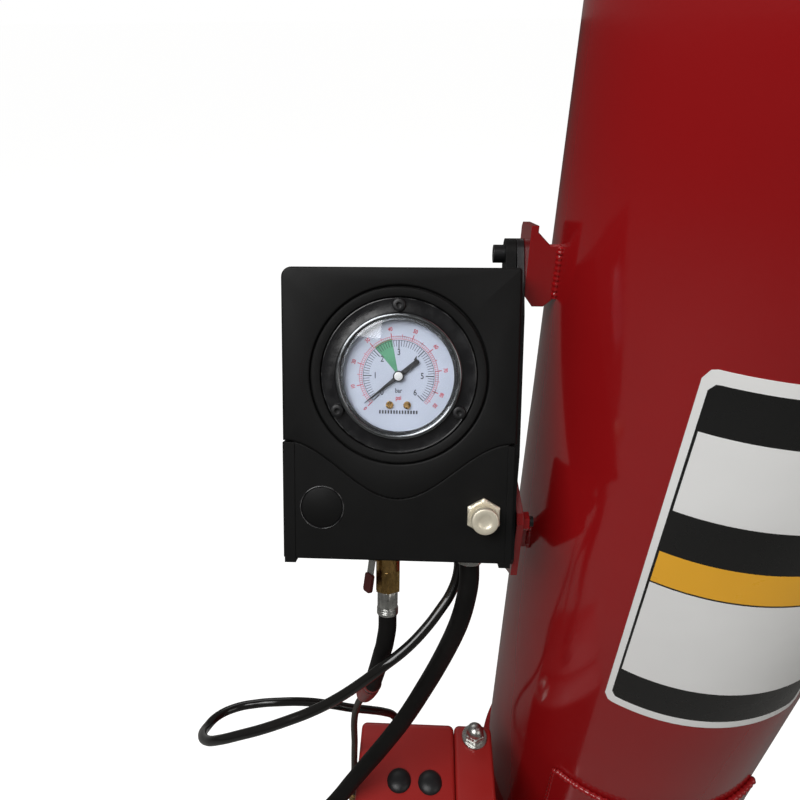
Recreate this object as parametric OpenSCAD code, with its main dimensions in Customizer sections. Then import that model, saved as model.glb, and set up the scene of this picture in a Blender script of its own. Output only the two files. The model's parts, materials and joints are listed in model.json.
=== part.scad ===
// Workshop column with a tyre-inflation gauge box on its side.
// Origin: centre of the column at floor level. +Z is up the column and -Y faces the user.

/* [Column] */
// Outside diameter of the column tube
column_d = 286; // [282:1:290]
// Wall thickness of the column tube
column_wall = 6; // [4:0.5:8]
// Height of the top of the column tube above the floor
column_top = 880; // [860:5:960]
// Thickness of the base plate
base_t = 12; // [10:1:14]
// Circle of the four tapped holes under the base plate
base_pcd = 220; // [200:2:240]
// Bore of the tapped holes under the base plate
base_hole_d = 10.2; // [8.5:0.1:14]

/* [Side housing] */
// Height of the top of the side housing above the floor
housing_top = 210; // [205:1:215]
// Sheet thickness of the side housing
housing_sheet = 3; // [2:0.5:4]
// Diameter of the rubber hole plugs' heads
plug_d = 23; // [20:0.5:24]

/* [Gauge box] */
// Width of the gauge box
box_w = 159; // [158:0.5:160]
// Height of the gauge box's front face
box_h = 201; // [200:0.5:202]
// Depth of the gauge box from its face to its back
box_depth = 62; // [61:0.5:66]
// Backward tilt of the gauge box's face in degrees
box_tilt = 26.2; // [26:0.1:26.4]
// Wall thickness of the moulded covers
cover_wall = 2.5; // [2:0.1:3]
// How far the wavy joint line dips at the middle of the box
wave_dip = 40; // [30:1:44]

/* [Gauge] */
// Outside diameter of the gauge's mounting flange
flange_d = 105; // [104:0.5:106]
// Circle of the three flange screws
flange_pcd = 95; // [94:0.5:96]
// Diameter of the white dial
dial_d = 75.5; // [72:0.5:76]
// Length of the needle from its axis to its tip
needle_len = 30; // [26:0.5:31]
// Direction of the needle at rest, in degrees from the dial's right-hand side
needle_rest = 218.9; // [215:0.1:225]

/* [Air fittings] */
// Travel of the bleed button
button_travel = 4; // [3:0.5:4]
// Diameter of the bleed button's cap
button_d = 18; // [16:0.5:18]
// Outside diameter of the supply hose
supply_od = 15; // [13:0.5:15]
// Outside diameter of the tyre hose
tyre_od = 14; // [12:0.5:14]
// Outside diameter of the plastic tube
tube_od = 8; // [6:0.5:8]
// Outside diameter of the whip hose below the grip
whip_od = 6.5; // [6:0.5:7]

/* [Hidden] */
$fn = 64;
eps = 0.01;
column_r = column_d / 2;
cap_t = 8;

// Box frame: centre of the front face; x right, y into the box, z up the face.
box_centre = [-251, -82, 617];
half_w = box_w / 2;
half_h = box_h / 2;
cover_depth = 36;
cover_side = 1.3;
corner_r = 7;
wave_top = -17.5;
wave_w = 79.5;
wave_steps = 26;
rib_w_left = 8.5;
rib_w_right = 4.5;
gauge_up = 28.1;
recess_d = 121;
recess_deep = 2.5;
collar_d = 119;
collar_proud = 1.2;
blank_at = [-52.3, -64.2];
blank_d = 31;
button_at = [59.5, -67];

// Gauge
case_d = 84;
case_wall = 1.6;
case_deep = 33;
bezel_d = 86;
lens_d = 81;
dial_z = -5;
dial_t = 0.8;
pivot_bore_d = 3;
sector_at = [0, 14.1];
pinion_r = 2.1;
sector_r = 11.8;
pinion_teeth = 12;
socket_w = 13;

// Manifold and fittings, in the box frame
manifold_y = [18, 57];
manifold_z = [-92, -58];
manifold_x = [-24, 70.5];
valve_at = [-8, 34];
valve_ball_z = -108;
valve_ball_d = 13;
valve_bore_d = 7;
valve_end_z = -137.5;
stem_d = 5;
valve_yaw = 35;
lever_off = 12.4;
lever_tilt = 9;
lever_len = 28;
supply_at = [53, 28];
tube_at = [46, 46];
fitting_end_z = -112;

// Mounting ears and bolts, in the box frame
ear_r = 11;
ear_at = [48, 115];
low_bolt_at = [48, -86];
ear_x = [74, 81.6];
plate_x = [81.9, 86.9];
lug_x = [87.2, 92.2];
m8 = 8;

// Side housing and foot box, in the object's frame
housing_x = [-295, -197.3];
foot_x = [-197, -158];
housing_y = [-205, -67];
plug_at = [[-253, -125], [-222, -126]];
foot_sheet = 5;
foot_bolt_at = [-176, -80];
gland_at = [-295, -160, 40];
bulkhead_at = [-210, -67, 38];

// Routes of the hoses
supply_route = [
    [-198, -106, 504], [-198, -113, 490], [-200, -118, 475], [-203, -120, 457],
    [-207, -120, 438], [-211.5, -119, 419], [-217, -118.5, 399], [-223.5, -119, 379],
    [-231, -120.5, 359], [-239, -122.5, 339], [-248, -125, 319], [-258.5, -128, 299],
    [-270, -131.5, 279], [-282.5, -135.5, 259], [-296, -140.5, 238], [-310, -145.5, 215],
    [-325, -150, 193], [-340, -154, 172], [-354.5, -157, 151.5], [-367.5, -159, 131],
    [-375, -160, 112.5], [-377, -160, 92], [-371.5, -160, 72.5], [-359.5, -160, 56.5],
    [-345, -160, 46], [-329.5, -160, 41], [-313, -160, 40]
];
tube_route = [
    [-205, -90, 497], [-205, -97, 483], [-210, -106, 470], [-219, -115, 459],
    [-230, -125, 449], [-244, -136, 440], [-261, -145, 430], [-280, -150, 413],
    [-299.5, -154.5, 398], [-319, -158, 386], [-339, -161, 376.5], [-359, -163, 367],
    [-379, -163, 356.5], [-398, -161, 344], [-413, -155, 330], [-424, -143, 315],
    [-428, -128, 300], [-423.5, -112.5, 291.5], [-411, -101.5, 286.5], [-392, -96, 285.5],
    [-369.5, -93, 285], [-346, -89, 280], [-323.5, -86, 272], [-302, -82, 260],
    [-284, -76, 247], [-271, -69, 232], [-262, -63, 216], [-257, -61, 198],
    [-256, -60, 168], [-253, -57, 147.5], [-244.5, -47.5, 130], [-233, -35, 120],
    [-221.5, -22.5, 110], [-212, -12, 88], [-210, -10, 72], [-210, -12.6, 59],
    [-210, -20, 48], [-210, -31, 40.8], [-210, -41, 38.5], [-210, -46, 38]
];
tyre_route = [
    [-259, -121, 461], [-259, -123, 457], [-259, -125.5, 452], [-259.5, -127.5, 447],
    [-260.5, -129.5, 441], [-261.5, -131, 435], [-263, -132, 429], [-264.5, -132.5, 422],
    [-266, -133, 415], [-267.5, -133, 408], [-269, -133, 401], [-270.5, -132.5, 394],
    [-272, -132, 387]
];
grip_from = [-272, -132, 387];
grip_to = [-284, -111, 333];
whip_route = [
    [-284, -111, 333], [-286, -108, 324], [-288.5, -105.5, 315], [-291, -103.5, 306],
    [-293, -102, 296], [-295, -101, 285], [-296.5, -100.5, 273], [-297.5, -100, 260],
    [-298, -100, 246], [-298.5, -100, 231], [-299.5, -100, 215], [-300.5, -100, 198],
    [-301.5, -100, 180], [-303, -100, 161], [-304.5, -100, 142], [-305, -100, 122]
];
chuck_from = [-305, -100, 122];
chuck_to = [-305, -100, 82];

// ---------- helpers ----------

// A frame on the box: x right, y into the box, z up the face
module at_box(p = [0, 0, 0]) {
    translate(box_centre) rotate([-box_tilt, 0, 0]) translate(p) children();
}

// A frame on the box's face: x right, y up, z out towards the user
module at_face(x, up) {
    at_box([x, 0, up]) rotate([90, 0, 0]) children();
}

// Extrude a face outline from depth y0 to depth y1 in the box frame
module face_slab(y0, y1) {
    translate([0, y1, 0]) rotate([90, 0, 0]) linear_extrude(y1 - y0) children();
}

// Extrude an outline in the side plane (y, z) from x0 to x1
module side_slab(x0, x1) {
    translate([x0, 0, 0]) rotate([90, 0, 90]) linear_extrude(x1 - x0) children();
}

module hex(af, h) {
    cylinder(d = af / cos(30), h = h, $fn = 6);
}

module ring(od, id, h) {
    difference() {
        cylinder(d = od, h = h);
        translate([0, 0, -1]) cylinder(d = id, h = h + 2);
    }
}

module box_between(lo, hi) {
    translate(lo) cube(hi - lo);
}

// Rectangle with round corners, as squares and circles so it stays exact
module round_rect(lo, hi, r) {
    translate([lo[0] + r, lo[1]]) square([hi[0] - lo[0] - 2 * r, hi[1] - lo[1]]);
    translate([lo[0], lo[1] + r]) square([hi[0] - lo[0], hi[1] - lo[1] - 2 * r]);
    for (x = [lo[0] + r, hi[0] - r], y = [lo[1] + r, hi[1] - r])
        translate([x, y]) circle(r);
}

// Socket head cap screw along +z, head up, its seat at z = 0
module cap_screw(d, len, head_d, head_h) {
    difference() {
        union() {
            translate([0, 0, -len]) cylinder(d = d, h = len + eps);
            cylinder(d = head_d, h = head_h);
        }
        translate([0, 0, head_h * 0.45]) hex(d * 0.75, head_h);
    }
}

function unit(v) = v / norm(v);
function tangent(p, i) =
    unit(p[min(i + 1, len(p) - 1)] - p[max(i - 1, 0)]);
// A side direction for a ring, square to its tangent
function side_of(t) = unit(cross(t, [0.31, 0.95, 0.05]));

// A hose: one polyhedron swept along the route's points
module hose(route, d, sides) {
    n = len(route);
    rings = [
        for (i = [0:n - 1])
            let (t = tangent(route, i), s = side_of(t), u = cross(t, s))
            for (k = [0:sides - 1])
                route[i] + d / 2 * (cos(360 * k / sides) * s + sin(360 * k / sides) * u)
    ];
    walls = [
        for (i = [0:n - 2], k = [0:sides - 1])
            let (a = i * sides + k, b = i * sides + (k + 1) % sides)
            [b, a, a + sides, b + sides]
    ];
    start = [for (k = [0:sides - 1]) k];
    finish = [for (k = [sides - 1:-1:0]) (n - 1) * sides + k];
    polyhedron(rings, concat([start], walls, [finish]), convexity = 6);
}

// ---------- column and foot ----------

module column_tube() {
    color("firebrick")
        difference() {
            translate([0, 0, base_t]) cylinder(r = column_r, h = column_top - base_t, $fn = 128);
            translate([0, 0, base_t - 1])
                cylinder(r = column_r - column_wall, h = column_top, $fn = 128);
        }
}

module column_cap() {
    color("firebrick") {
        translate([0, 0, column_top]) cylinder(r = column_r + 2, h = cap_t, $fn = 128);
        translate([0, 0, column_top - 20])
            ring(column_d - 2 * column_wall - 0.6, column_d - 2 * column_wall - 8, 20 + eps);
    }
}

module base_plate() {
    edge_r = column_r + 7;
    x0 = housing_x[0] - 5;
    y0 = housing_y[0] - 5;
    color("firebrick")
        difference() {
            union() {
                cylinder(r = edge_r, h = base_t, $fn = 128);
                linear_extrude(base_t) polygon([
                    [x0, y0], [foot_x[1] + 5, y0], edge_r * [cos(240), sin(240)],
                    [-20, housing_y[1] + 5], [x0, housing_y[1] + 5]
                ]);
            }
            for (a = [45:90:315])
                rotate([0, 0, a]) translate([base_pcd / 2, 0, -1])
                    cylinder(d = base_hole_d, h = base_t + 2);
        }
}

saddle_t = 5;
saddle_half = 41.5;
module foot_saddle() {
    color("firebrick")
        rotate([0, 0, 270 - saddle_half])
            rotate_extrude(angle = 2 * saddle_half, $fn = 128)
                translate([column_r, base_t])
                    square([saddle_t, housing_top - 1 - base_t]);
}

// Bracket between the column and one bolt of the gauge box: a leg beside the box, drilled for
// the bolt, and a web from the leg to the column.
// web: outline in x (from the leg's outer face) and z; leg: outline in y and z.
module bracket(bolt, web_y, web, leg) {
    x0 = box_centre[0] + lug_x[0];
    t = lug_x[1] - lug_x[0];
    color("firebrick")
        difference() {
            union() {
                translate([x0, web_y + t, 0]) rotate([90, 0, 0]) linear_extrude(t) polygon(web);
                side_slab(x0, x0 + t) polygon(leg);
            }
            cylinder(r = column_r, h = 1000, $fn = 128);
            at_box([0, bolt[0], bolt[1]]) rotate([0, 90, 0]) cylinder(d = m8 + 0.6, h = 200);
        }
}

module upper_bracket() {
    y = -16;
    bracket(ear_at, y,
        [[0, 678], [6, 670], [14, 670], [20, 676], [40, 676], [40, 714], [14, 714], [0, 728]],
        [[y, 678], [y + 44, 678], [y + 44, 715], [y + 40, 719], [y, 728]]);
}

module lower_bracket() {
    y = -34;
    bracket(low_bolt_at, y,
        [[0, 446], [40, 446], [40, 474], [0, 474]],
        [[y, 446], [-56, 446], [-93, 476], [-93, 530], [-87, 536], [y, 536]]);
}

panel_half = 32.9;
panel_z = [359, 682];
module front_panel() {
    color("white")
        rotate([0, 0, 270 - panel_half])
            rotate_extrude(angle = 2 * panel_half, $fn = 128)
                translate([column_r, panel_z[0]]) square([0.5, panel_z[1] - panel_z[0]]);
}

// ---------- side housing ----------

module side_housing() {
    lo = [housing_x[0], housing_y[0]];
    hi = [housing_x[1], housing_y[1]];
    in = [housing_sheet, housing_sheet];
    color("firebrick")
        difference() {
            translate([0, 0, base_t]) linear_extrude(housing_top - base_t) round_rect(lo, hi, 6);
            translate([0, 0, base_t - 1]) linear_extrude(housing_top - base_t - housing_sheet + 1)
                round_rect(lo + in, hi - in, 6 - housing_sheet);
            for (p = plug_at)
                translate([p[0], p[1], housing_top - 10]) cylinder(d = plug_d - 6, h = 20);
            translate(gland_at - [5, 0, 0]) rotate([0, 90, 0]) cylinder(d = 18.2, h = 12);
            translate(bulkhead_at + [0, 5, 0]) rotate([90, 0, 0]) cylinder(d = 12.2, h = 12);
        }
}

// Closed sheet box between the housing and the column's foot
module foot_box() {
    lo = [foot_x[0], housing_y[0]];
    hi = [foot_x[1], housing_y[1]];
    in = [foot_sheet, foot_sheet];
    color("firebrick")
        difference() {
            translate([0, 0, base_t]) linear_extrude(housing_top - base_t) round_rect(lo, hi, 6);
            translate([0, 0, base_t - 1]) linear_extrude(housing_top - base_t - foot_sheet + 1)
                round_rect(lo + in, hi - in, 1);
            translate([foot_bolt_at[0], foot_bolt_at[1], housing_top - 20]) cylinder(d = 13, h = 40);
        }
}

module hole_plugs() {
    color([0.12, 0.12, 0.12])
        for (p = plug_at)
            translate([p[0], p[1], housing_top]) {
                rotate_extrude() polygon([
                    [0, -7], [plug_d / 2 - 3.4, -7], [plug_d / 2 - 3.4, 0], [plug_d / 2, 0],
                    [plug_d / 2, 1.2], [plug_d / 2 - 2, 3.2], [plug_d / 2 - 5, 4.6],
                    [plug_d / 2 - 8, 5.3], [0, 5.6]
                ]);
            }
}

washer_t = 2.5;
module foot_washer() {
    color("silver")
        translate([foot_bolt_at[0], foot_bolt_at[1], housing_top]) ring(26, 13, washer_t);
}

// Domed nut on its stud, which passes through the foot box's top
module cap_nut() {
    color("silver")
        translate([foot_bolt_at[0], foot_bolt_at[1], housing_top + washer_t]) {
            hex(18, 9);
            translate([0, 0, 9]) intersection() {
                sphere(d = 17);
                cylinder(d = 17, h = 9);
            }
            translate([0, 0, -20]) cylinder(d = 12, h = 20 + eps);
        }
}

// Gland that takes the supply hose through the housing's left wall
module hose_gland() {
    color([0.15, 0.15, 0.15])
        translate(gland_at) rotate([0, -90, 0]) {
            hex(24, 8);
            translate([0, 0, 8]) cylinder(d = 22, h = 10);
            translate([0, 0, -14]) cylinder(d = 18, h = 14 + eps);
        }
}

// Push-in bulkhead fitting for the plastic tube on the housing's back wall
module tube_bulkhead() {
    color("silver")
        translate(bulkhead_at) rotate([-90, 0, 0]) {
            hex(16, 8);
            translate([0, 0, 8]) cylinder(d = 13, h = 13);
            translate([0, 0, -15]) cylinder(d = 12, h = 15 + eps);
        }
}

// ---------- gauge box ----------

function wave_z(x) = wave_top - wave_dip * (1 + cos(180 * min(abs(x), wave_w) / wave_w)) / 2;

// The wavy joint line from left to right
function wave_line(x0, x1, shift) = [
    for (i = [0:wave_steps])
        let (x = x0 + (x1 - x0) * i / wave_steps)
        [x, wave_z(x) + shift]
];

module upper_outline(grow) {
    x0 = -half_w - grow;
    x1 = half_w + cover_side + grow;
    top = half_h + grow;
    difference() {
        polygon(concat(wave_line(x0, x1, 0.15), [[x1, top], [x0, top]]));
        for (side = [0, 1])
            translate([side == 0 ? x0 : x1, top]) difference() {
                translate([-corner_r, -corner_r]) square(2 * corner_r);
                translate([side == 0 ? corner_r : -corner_r, -corner_r]) circle(corner_r);
                translate([side == 0 ? corner_r : -3 * corner_r, -2 * corner_r])
                    square([2 * corner_r, 4 * corner_r]);
            }
    }
}

module upper_cover() {
    color([0.1, 0.1, 0.1])
        at_box() difference() {
            union() {
                difference() {
                    face_slab(0, cover_depth) upper_outline(0);
                    face_slab(cover_wall, cover_depth + 1)
                        polygon([
                            [-half_w + cover_wall, -200], [half_w + cover_side - cover_wall, -200],
                            [half_w + cover_side - cover_wall, half_h - cover_wall],
                            [-half_w + cover_wall, half_h - cover_wall]
                        ]);
                    translate([0, -1, gauge_up]) rotate([-90, 0, 0])
                        cylinder(d = recess_d, h = 1 + recess_deep + eps, $fn = 96);
                }
                translate([0, recess_deep + cover_wall, gauge_up]) rotate([90, 0, 0])
                    ring(recess_d + 2, case_d + 0.6, cover_wall);
                translate([0, recess_deep + eps, gauge_up]) rotate([90, 0, 0])
                    ring(collar_d, flange_d + 1, recess_deep + collar_proud);
            }
            translate([0, -5, gauge_up]) rotate([-90, 0, 0])
                cylinder(d = case_d + 0.6, h = 30);
            for (a = [90, 210, 330])
                translate([flange_pcd / 2 * cos(a), -5, gauge_up + flange_pcd / 2 * sin(a)])
                    rotate([-90, 0, 0]) cylinder(d = 4.4, h = 30);
        }
}

// The front panel below the wavy line, between the back shell's two edges
module lower_cover() {
    x0 = -half_w + rib_w_left;
    x1 = half_w - rib_w_right;
    color([0.1, 0.1, 0.1])
        at_box() difference() {
            union() {
                face_slab(0, cover_wall)
                    polygon(concat(wave_line(x0, x1, -0.15), [[x1, -half_h], [x0, -half_h]]));
                box_between([x0, cover_wall - eps, -half_h], [x1, 13, -half_h + cover_wall]);
            }
            translate([button_at[0], -1, button_at[1]]) rotate([-90, 0, 0])
                cylinder(d = 16.4, h = 10);
            translate([blank_at[0], -1, blank_at[1]]) rotate([-90, 0, 0])
                cylinder(d = blank_d - 3, h = 10);
        }
}

// Back wall, side walls, floor, the front edges beside the lower cover, feet and the ear
module back_shell() {
    w = cover_wall;
    low_top = wave_top - 1;
    in_l = -half_w + w + 0.3;
    in_r = half_w + cover_side - w - 0.3;
    color([0.11, 0.11, 0.11])
        at_box() difference() {
            union() {
                box_between([in_l, box_depth - w, -half_h], [in_r, box_depth, half_h - w - 0.3]);
                // lower side walls with their front edges and feet
                box_between([-half_w, 0, -half_h], [-half_w + w, box_depth, low_top]);
                box_between([-half_w, 0, -half_h], [-half_w + rib_w_left - 0.2, w, low_top]);
                box_between([half_w - w, 0, -half_h], [half_w, box_depth, low_top]);
                box_between([half_w - rib_w_right + 0.2, 0, -half_h], [half_w, w, low_top]);
                box_between([-half_w, box_depth - w, -half_h], [half_w, box_depth, low_top]);
                for (x = [-half_w + 0.6, half_w - 8.4])
                    box_between([x, 0, -half_h - 4], [x + 7.8, 8, -half_h]);
                // floor behind the lower cover's lip
                box_between([-half_w, 13.3, -half_h], [half_w, box_depth, -half_h + w]);
                // upper side walls and top, inside the upper cover
                box_between([in_l, 5, low_top - 3], [in_l + w, box_depth, half_h - w - 0.3]);
                box_between([in_r - w, 5, low_top - 3], [in_r, box_depth, half_h - w - 0.3]);
                box_between([in_l, 5, half_h - 2 * w - 0.3], [in_r, box_depth, half_h - w - 0.3]);
                // ear for the upper bolt and boss for the lower one
                side_slab(ear_x[0], ear_x[1]) {
                    translate(ear_at) circle(ear_r);
                    translate([ear_at[0] - ear_r, half_h - 30])
                        square([2 * ear_r, ear_at[1] - half_h + 30]);
                }
                side_slab(ear_x[0] - 3, ear_x[1]) translate(low_bolt_at) circle(ear_r);
                // rear lip that meets the cover's edge
                box_between([in_l - 2.8, cover_depth + 0.3, low_top], [in_l, box_depth, half_h]);
                box_between([in_l - 2.8, cover_depth + 0.3, half_h - w - 0.3], [ear_x[0], box_depth, half_h]);
            }
            for (b = [ear_at, low_bolt_at])
                translate([0, b[0], b[1]]) rotate([0, 90, 0]) cylinder(d = m8 + 0.6, h = 200);
            for (p = [[valve_at[0], valve_at[1], 22], [supply_at[0], supply_at[1], 19.4], [tube_at[0], tube_at[1], 15]])
                translate([p[0], p[1], -half_h - 1]) cylinder(d = p[2], h = 5);
            for (x = [-60, 55], z = [-45, 80])
                translate([x, box_depth - 10, z]) rotate([-90, 0, 0]) cylinder(d = 4.4, h = 20);
        }
}

module cover_screws() {
    color("silver")
        for (x = [-60, 55], z = [-45, 80])
            at_box([x, box_depth, z]) rotate([-90, 0, 0]) cap_screw(4, 14, 7, 2.6);
}

module side_plate() {
    color([0.14, 0.14, 0.15])
        at_box() difference() {
            side_slab(plate_x[0], plate_x[1]) {
                translate(ear_at) circle(ear_r);
                polygon([
                    [ear_at[0] - ear_r + 0.3, ear_at[1] + 2], [25, 70], [25, -30], [33, -60],
                    [35, -112], [41, -118], [54, -118], [ear_at[0] + ear_r, -112],
                    [ear_at[0] + ear_r, ear_at[1]]
                ]);
            }
            for (b = [ear_at, low_bolt_at])
                translate([0, b[0], b[1]]) rotate([0, 90, 0]) cylinder(d = m8 + 0.6, h = 200);
        }
}

module mount_bolts() {
    color([0.08, 0.08, 0.08])
        for (b = [[ear_x[0], ear_at], [ear_x[0] - 3, low_bolt_at]])
            at_box([b[0], b[1][0], b[1][1]]) rotate([0, -90, 0])
                cap_screw(m8, lug_x[1] - b[0] + 10, 13, 8);
}

module mount_nuts() {
    color("silver")
        for (b = [ear_at, low_bolt_at])
            at_box([lug_x[1], b[0], b[1]]) rotate([0, 90, 0]) difference() {
                hex(13, 6.5);
                translate([0, 0, -1]) cylinder(d = m8, h = 10);
            }
}

module blank_plug() {
    color([0.11, 0.11, 0.11])
        at_face(blank_at[0], blank_at[1]) {
            cylinder(d = blank_d, h = 0.8);
            translate([0, 0, -6]) ring(blank_d - 3.4, blank_d - 7, 6 + eps);
        }
}

// ---------- gauge ----------

module at_gauge(z = 0) {
    at_face(0, gauge_up) translate([0, 0, z]) children();
}

module gauge_flange() {
    color([0.09, 0.09, 0.09])
        at_gauge(-recess_deep) difference() {
            cylinder(d = flange_d, h = 3);
            translate([0, 0, -1]) cylinder(d = case_d + 0.1, h = 5);
            for (a = [90, 210, 330])
                rotate([0, 0, a]) translate([flange_pcd / 2, 0, -1]) cylinder(d = 4.4, h = 5);
        }
}

module flange_screws() {
    color([0.06, 0.06, 0.06])
        for (a = [90, 210, 330])
            at_gauge(3 - recess_deep) rotate([0, 0, a]) translate([flange_pcd / 2, 0, 0])
                cap_screw(4, 11, 8.8, 3.4);
}

module gauge_case() {
    color("silver")
        at_gauge(-case_deep) difference() {
            cylinder(d = case_d, h = case_deep + 0.5);
            translate([0, 0, case_wall]) cylinder(d = case_d - 2 * case_wall, h = case_deep + 1);
            translate([0, -20, -1]) cylinder(d = socket_w + 0.4, h = 5);
        }
}

module bezel_ring() {
    color("gainsboro")
        at_gauge(0.5) rotate_extrude() polygon([
            [lens_d / 2 + 0.2, 0], [bezel_d / 2, 0], [bezel_d / 2, 2.6], [bezel_d / 2 - 1.4, 4],
            [lens_d / 2 - 0.8, 4], [lens_d / 2 - 1.2, 3.1], [lens_d / 2 + 0.2, 3.1]
        ]);
}

module gauge_lens() {
    color([0.85, 0.93, 0.97, 0.35])
        at_gauge(0.6) cylinder(d = lens_d, h = 2.9);
}

module dial() {
    color("white")
        at_gauge(dial_z) difference() {
            cylinder(d = dial_d + 4, h = dial_t);
            translate([0, 0, -1]) cylinder(d = pivot_bore_d, h = 3);
            for (x = [-6, 6])
                translate([x, -19.9, -1]) cylinder(d = 2.2, h = 3);
        }
}

module dial_screws() {
    color("goldenrod")
        for (x = [-6, 6])
            at_gauge(dial_z + dial_t) translate([x, -19.9, 0]) {
                difference() {
                    cylinder(d = 5.2, h = 1.1);
                    translate([-3, -0.4, 0.6]) cube([6, 0.8, 2]);
                }
                translate([0, 0, -5]) cylinder(d = 2, h = 5 + eps);
            }
}

// Needle with its hub and round-ended counterweight
module needle() {
    color("black")
        at_gauge(-2.8) {
            rotate([0, 0, needle_rest]) {
                linear_extrude(0.6)
                    polygon([[0, -1.6], [needle_len, -0.15], [needle_len, 0.15], [0, 1.6]]);
                translate([-15.6, -1.7, 0]) cube([15.6, 3.4, 0.6]);
                translate([-15.6, 0, 0]) cylinder(d = 3.4, h = 0.6);
            }
            ring(7.4, 1.62, 1.6);
        }
}

pinion_z = [-15, -12];
// Pinion and the shaft that carries the needle
module pinion() {
    color("goldenrod")
        at_gauge() {
            translate([0, 0, -19]) cylinder(d = 1.6, h = 19 - 1.2);
            translate([0, 0, pinion_z[0]]) linear_extrude(pinion_z[1] - pinion_z[0]) {
                circle(pinion_r - 0.35);
                for (i = [0:pinion_teeth - 1])
                    rotate(360 / pinion_teeth * (i + 0.5)) translate([0, -0.22])
                        square([pinion_r, 0.44]);
            }
        }
}

sector_swing = [-50, 5];
sector_step = 5;
sector_tail = 9;
// Toothed sector on its own shaft above the pinion, its tail towards the link
module sector_gear() {
    color("goldenrod")
        at_gauge(pinion_z[0] + 0.2) translate(sector_at) {
            linear_extrude(1.4) difference() {
                union() {
                    intersection() {
                        circle(sector_r - 0.5);
                        rotate(270 + (sector_swing[0] + sector_swing[1]) / 2)
                            polygon([[-2, 0], [14, -9], [14, 9]]);
                    }
                    for (a = [sector_swing[0]:sector_step:sector_swing[1]])
                        rotate(270 + a) translate([0, -0.25]) square([sector_r, 0.5]);
                    rotate(150) translate([0, -1.6]) square([sector_tail, 3.2]);
                    rotate(150) translate([sector_tail, 0]) circle(2.2);
                    circle(3);
                }
                rotate(150) translate([sector_tail, 0]) circle(0.6);
            }
            translate([0, 0, -3.6]) cylinder(d = 1.6, h = 8);
        }
}

module movement_frame() {
    color("goldenrod")
        at_gauge() difference() {
            union() {
                for (z = [-18.5, -10.5])
                    translate([-14, -24, z]) cube([28, 46, 1.4]);
                for (x = [-11.5, 11.5])
                    translate([x, -16, -18.5]) cylinder(d = 3, h = 9.4);
            }
            translate([0, 0, -30]) cylinder(d = 1.68, h = 30);
            translate([sector_at[0], sector_at[1], -30]) cylinder(d = 1.68, h = 30);
            for (x = [-6, 6]) translate([x, -19.9, -12]) cylinder(d = 2.1, h = 6);
        }
}

bourdon_r = 31;
bourdon_z = -21.5;
bourdon_tip = 156;
bourdon_sweep = 240;
// Flattened tube bent to a C, from the socket round to its free tip
module bourdon_tube() {
    color("goldenrod")
        at_gauge(bourdon_z) rotate([0, 0, bourdon_tip - bourdon_sweep])
            rotate_extrude(angle = bourdon_sweep) translate([bourdon_r, 0]) difference() {
                round_rect([-2, -4], [2, 4], 1.9);
                round_rect([-1.2, -3.2], [1.2, 3.2], 1.1);
            }
}

// Strip from the tube's tip towards the sector's tail; it stops clear of the tail's swing
module gauge_link() {
    tip = bourdon_r * [cos(bourdon_tip), sin(bourdon_tip)];
    reach = sector_at - tip;
    color("goldenrod")
        at_gauge(pinion_z[0]) {
            translate(tip) rotate(atan2(reach[1], reach[0]))
                translate([0, -1.2, 0]) cube([norm(reach) - sector_tail - 3.2, 2.4, 1]);
            translate([tip[0], tip[1], -2.5]) cylinder(d = 3, h = 3.5);
        }
}

// Brass socket at the foot of the tube; its spigot leaves the case towards the manifold
module gauge_socket() {
    color("goldenrod")
        at_gauge() {
            translate([-socket_w / 2, -36, -31]) cube([socket_w, 20, 5.2]);
            translate([0, -31, -26]) cylinder(d = 9, h = 2);
            translate([0, -20, -46]) cylinder(d = socket_w, h = 20);
        }
}

// ---------- air side ----------

// Block behind the gauge: a tall leg for the gauge and a wide foot for the fittings
module manifold() {
    color("lightgray")
        at_box() difference() {
            union() {
                box_between([manifold_x[0], manifold_y[0], manifold_z[0]],
                            [manifold_x[1], manifold_y[1], manifold_z[1]]);
                box_between([-14, 46, manifold_z[0]], [14, manifold_y[1], 24]);
            }
            // cross drilling from end to end, and the drop to each fitting
            translate([manifold_x[0] + 10, 40, -74]) rotate([0, 90, 0]) cylinder(d = 7, h = 100);
            for (p = [valve_at, supply_at, tube_at])
                translate([p[0], p[1], manifold_z[0] - 1]) cylinder(d = 6, h = 19);
            translate([button_at[0], 10, button_at[1]]) rotate([-90, 0, 0]) cylinder(d = 6, h = 28);
            translate([button_at[0], 36, -74]) cylinder(d = 5, h = button_at[1] + 74);
            translate([0, 52, -74]) cylinder(d = 5, h = 84);
            translate([0, 40, gauge_up - 20]) rotate([-90, 0, 0]) cylinder(d = 5, h = 12);
            for (p = [[valve_at, 13], [supply_at, 12], [tube_at, 9.8]])
                translate([p[0][0], p[0][1], manifold_z[0] - 1]) cylinder(d = p[1], h = 13);
            translate([button_at[0], manifold_y[0] - 1, button_at[1]]) rotate([-90, 0, 0])
                cylinder(d = 14, h = 8);
            // room for the head of the lower mounting bolt
            box_between([58, 40, manifold_z[0] - 1], [73, manifold_y[1] + 1, manifold_z[1] + 1]);
        }
}

// Threaded barrel through the cover, with its hexagon nut and round collar
module button_body() {
    color("silver")
        at_face(button_at[0], button_at[1]) difference() {
            union() {
                hex(22, 3.6);
                cylinder(d = 21, h = 4.6);
                cylinder(d = 13, h = 9.4);
                translate([0, 0, -manifold_y[0]]) cylinder(d = 16, h = manifold_y[0] + eps);
                translate([0, 0, -manifold_y[0] - 7]) cylinder(d = 14, h = 8);
            }
            translate([0, 0, -manifold_y[0] - 8]) cylinder(d = 5.1, h = 60);
            translate([0, 0, -11]) cylinder(d = 10.4, h = 60);
        }
}

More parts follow.
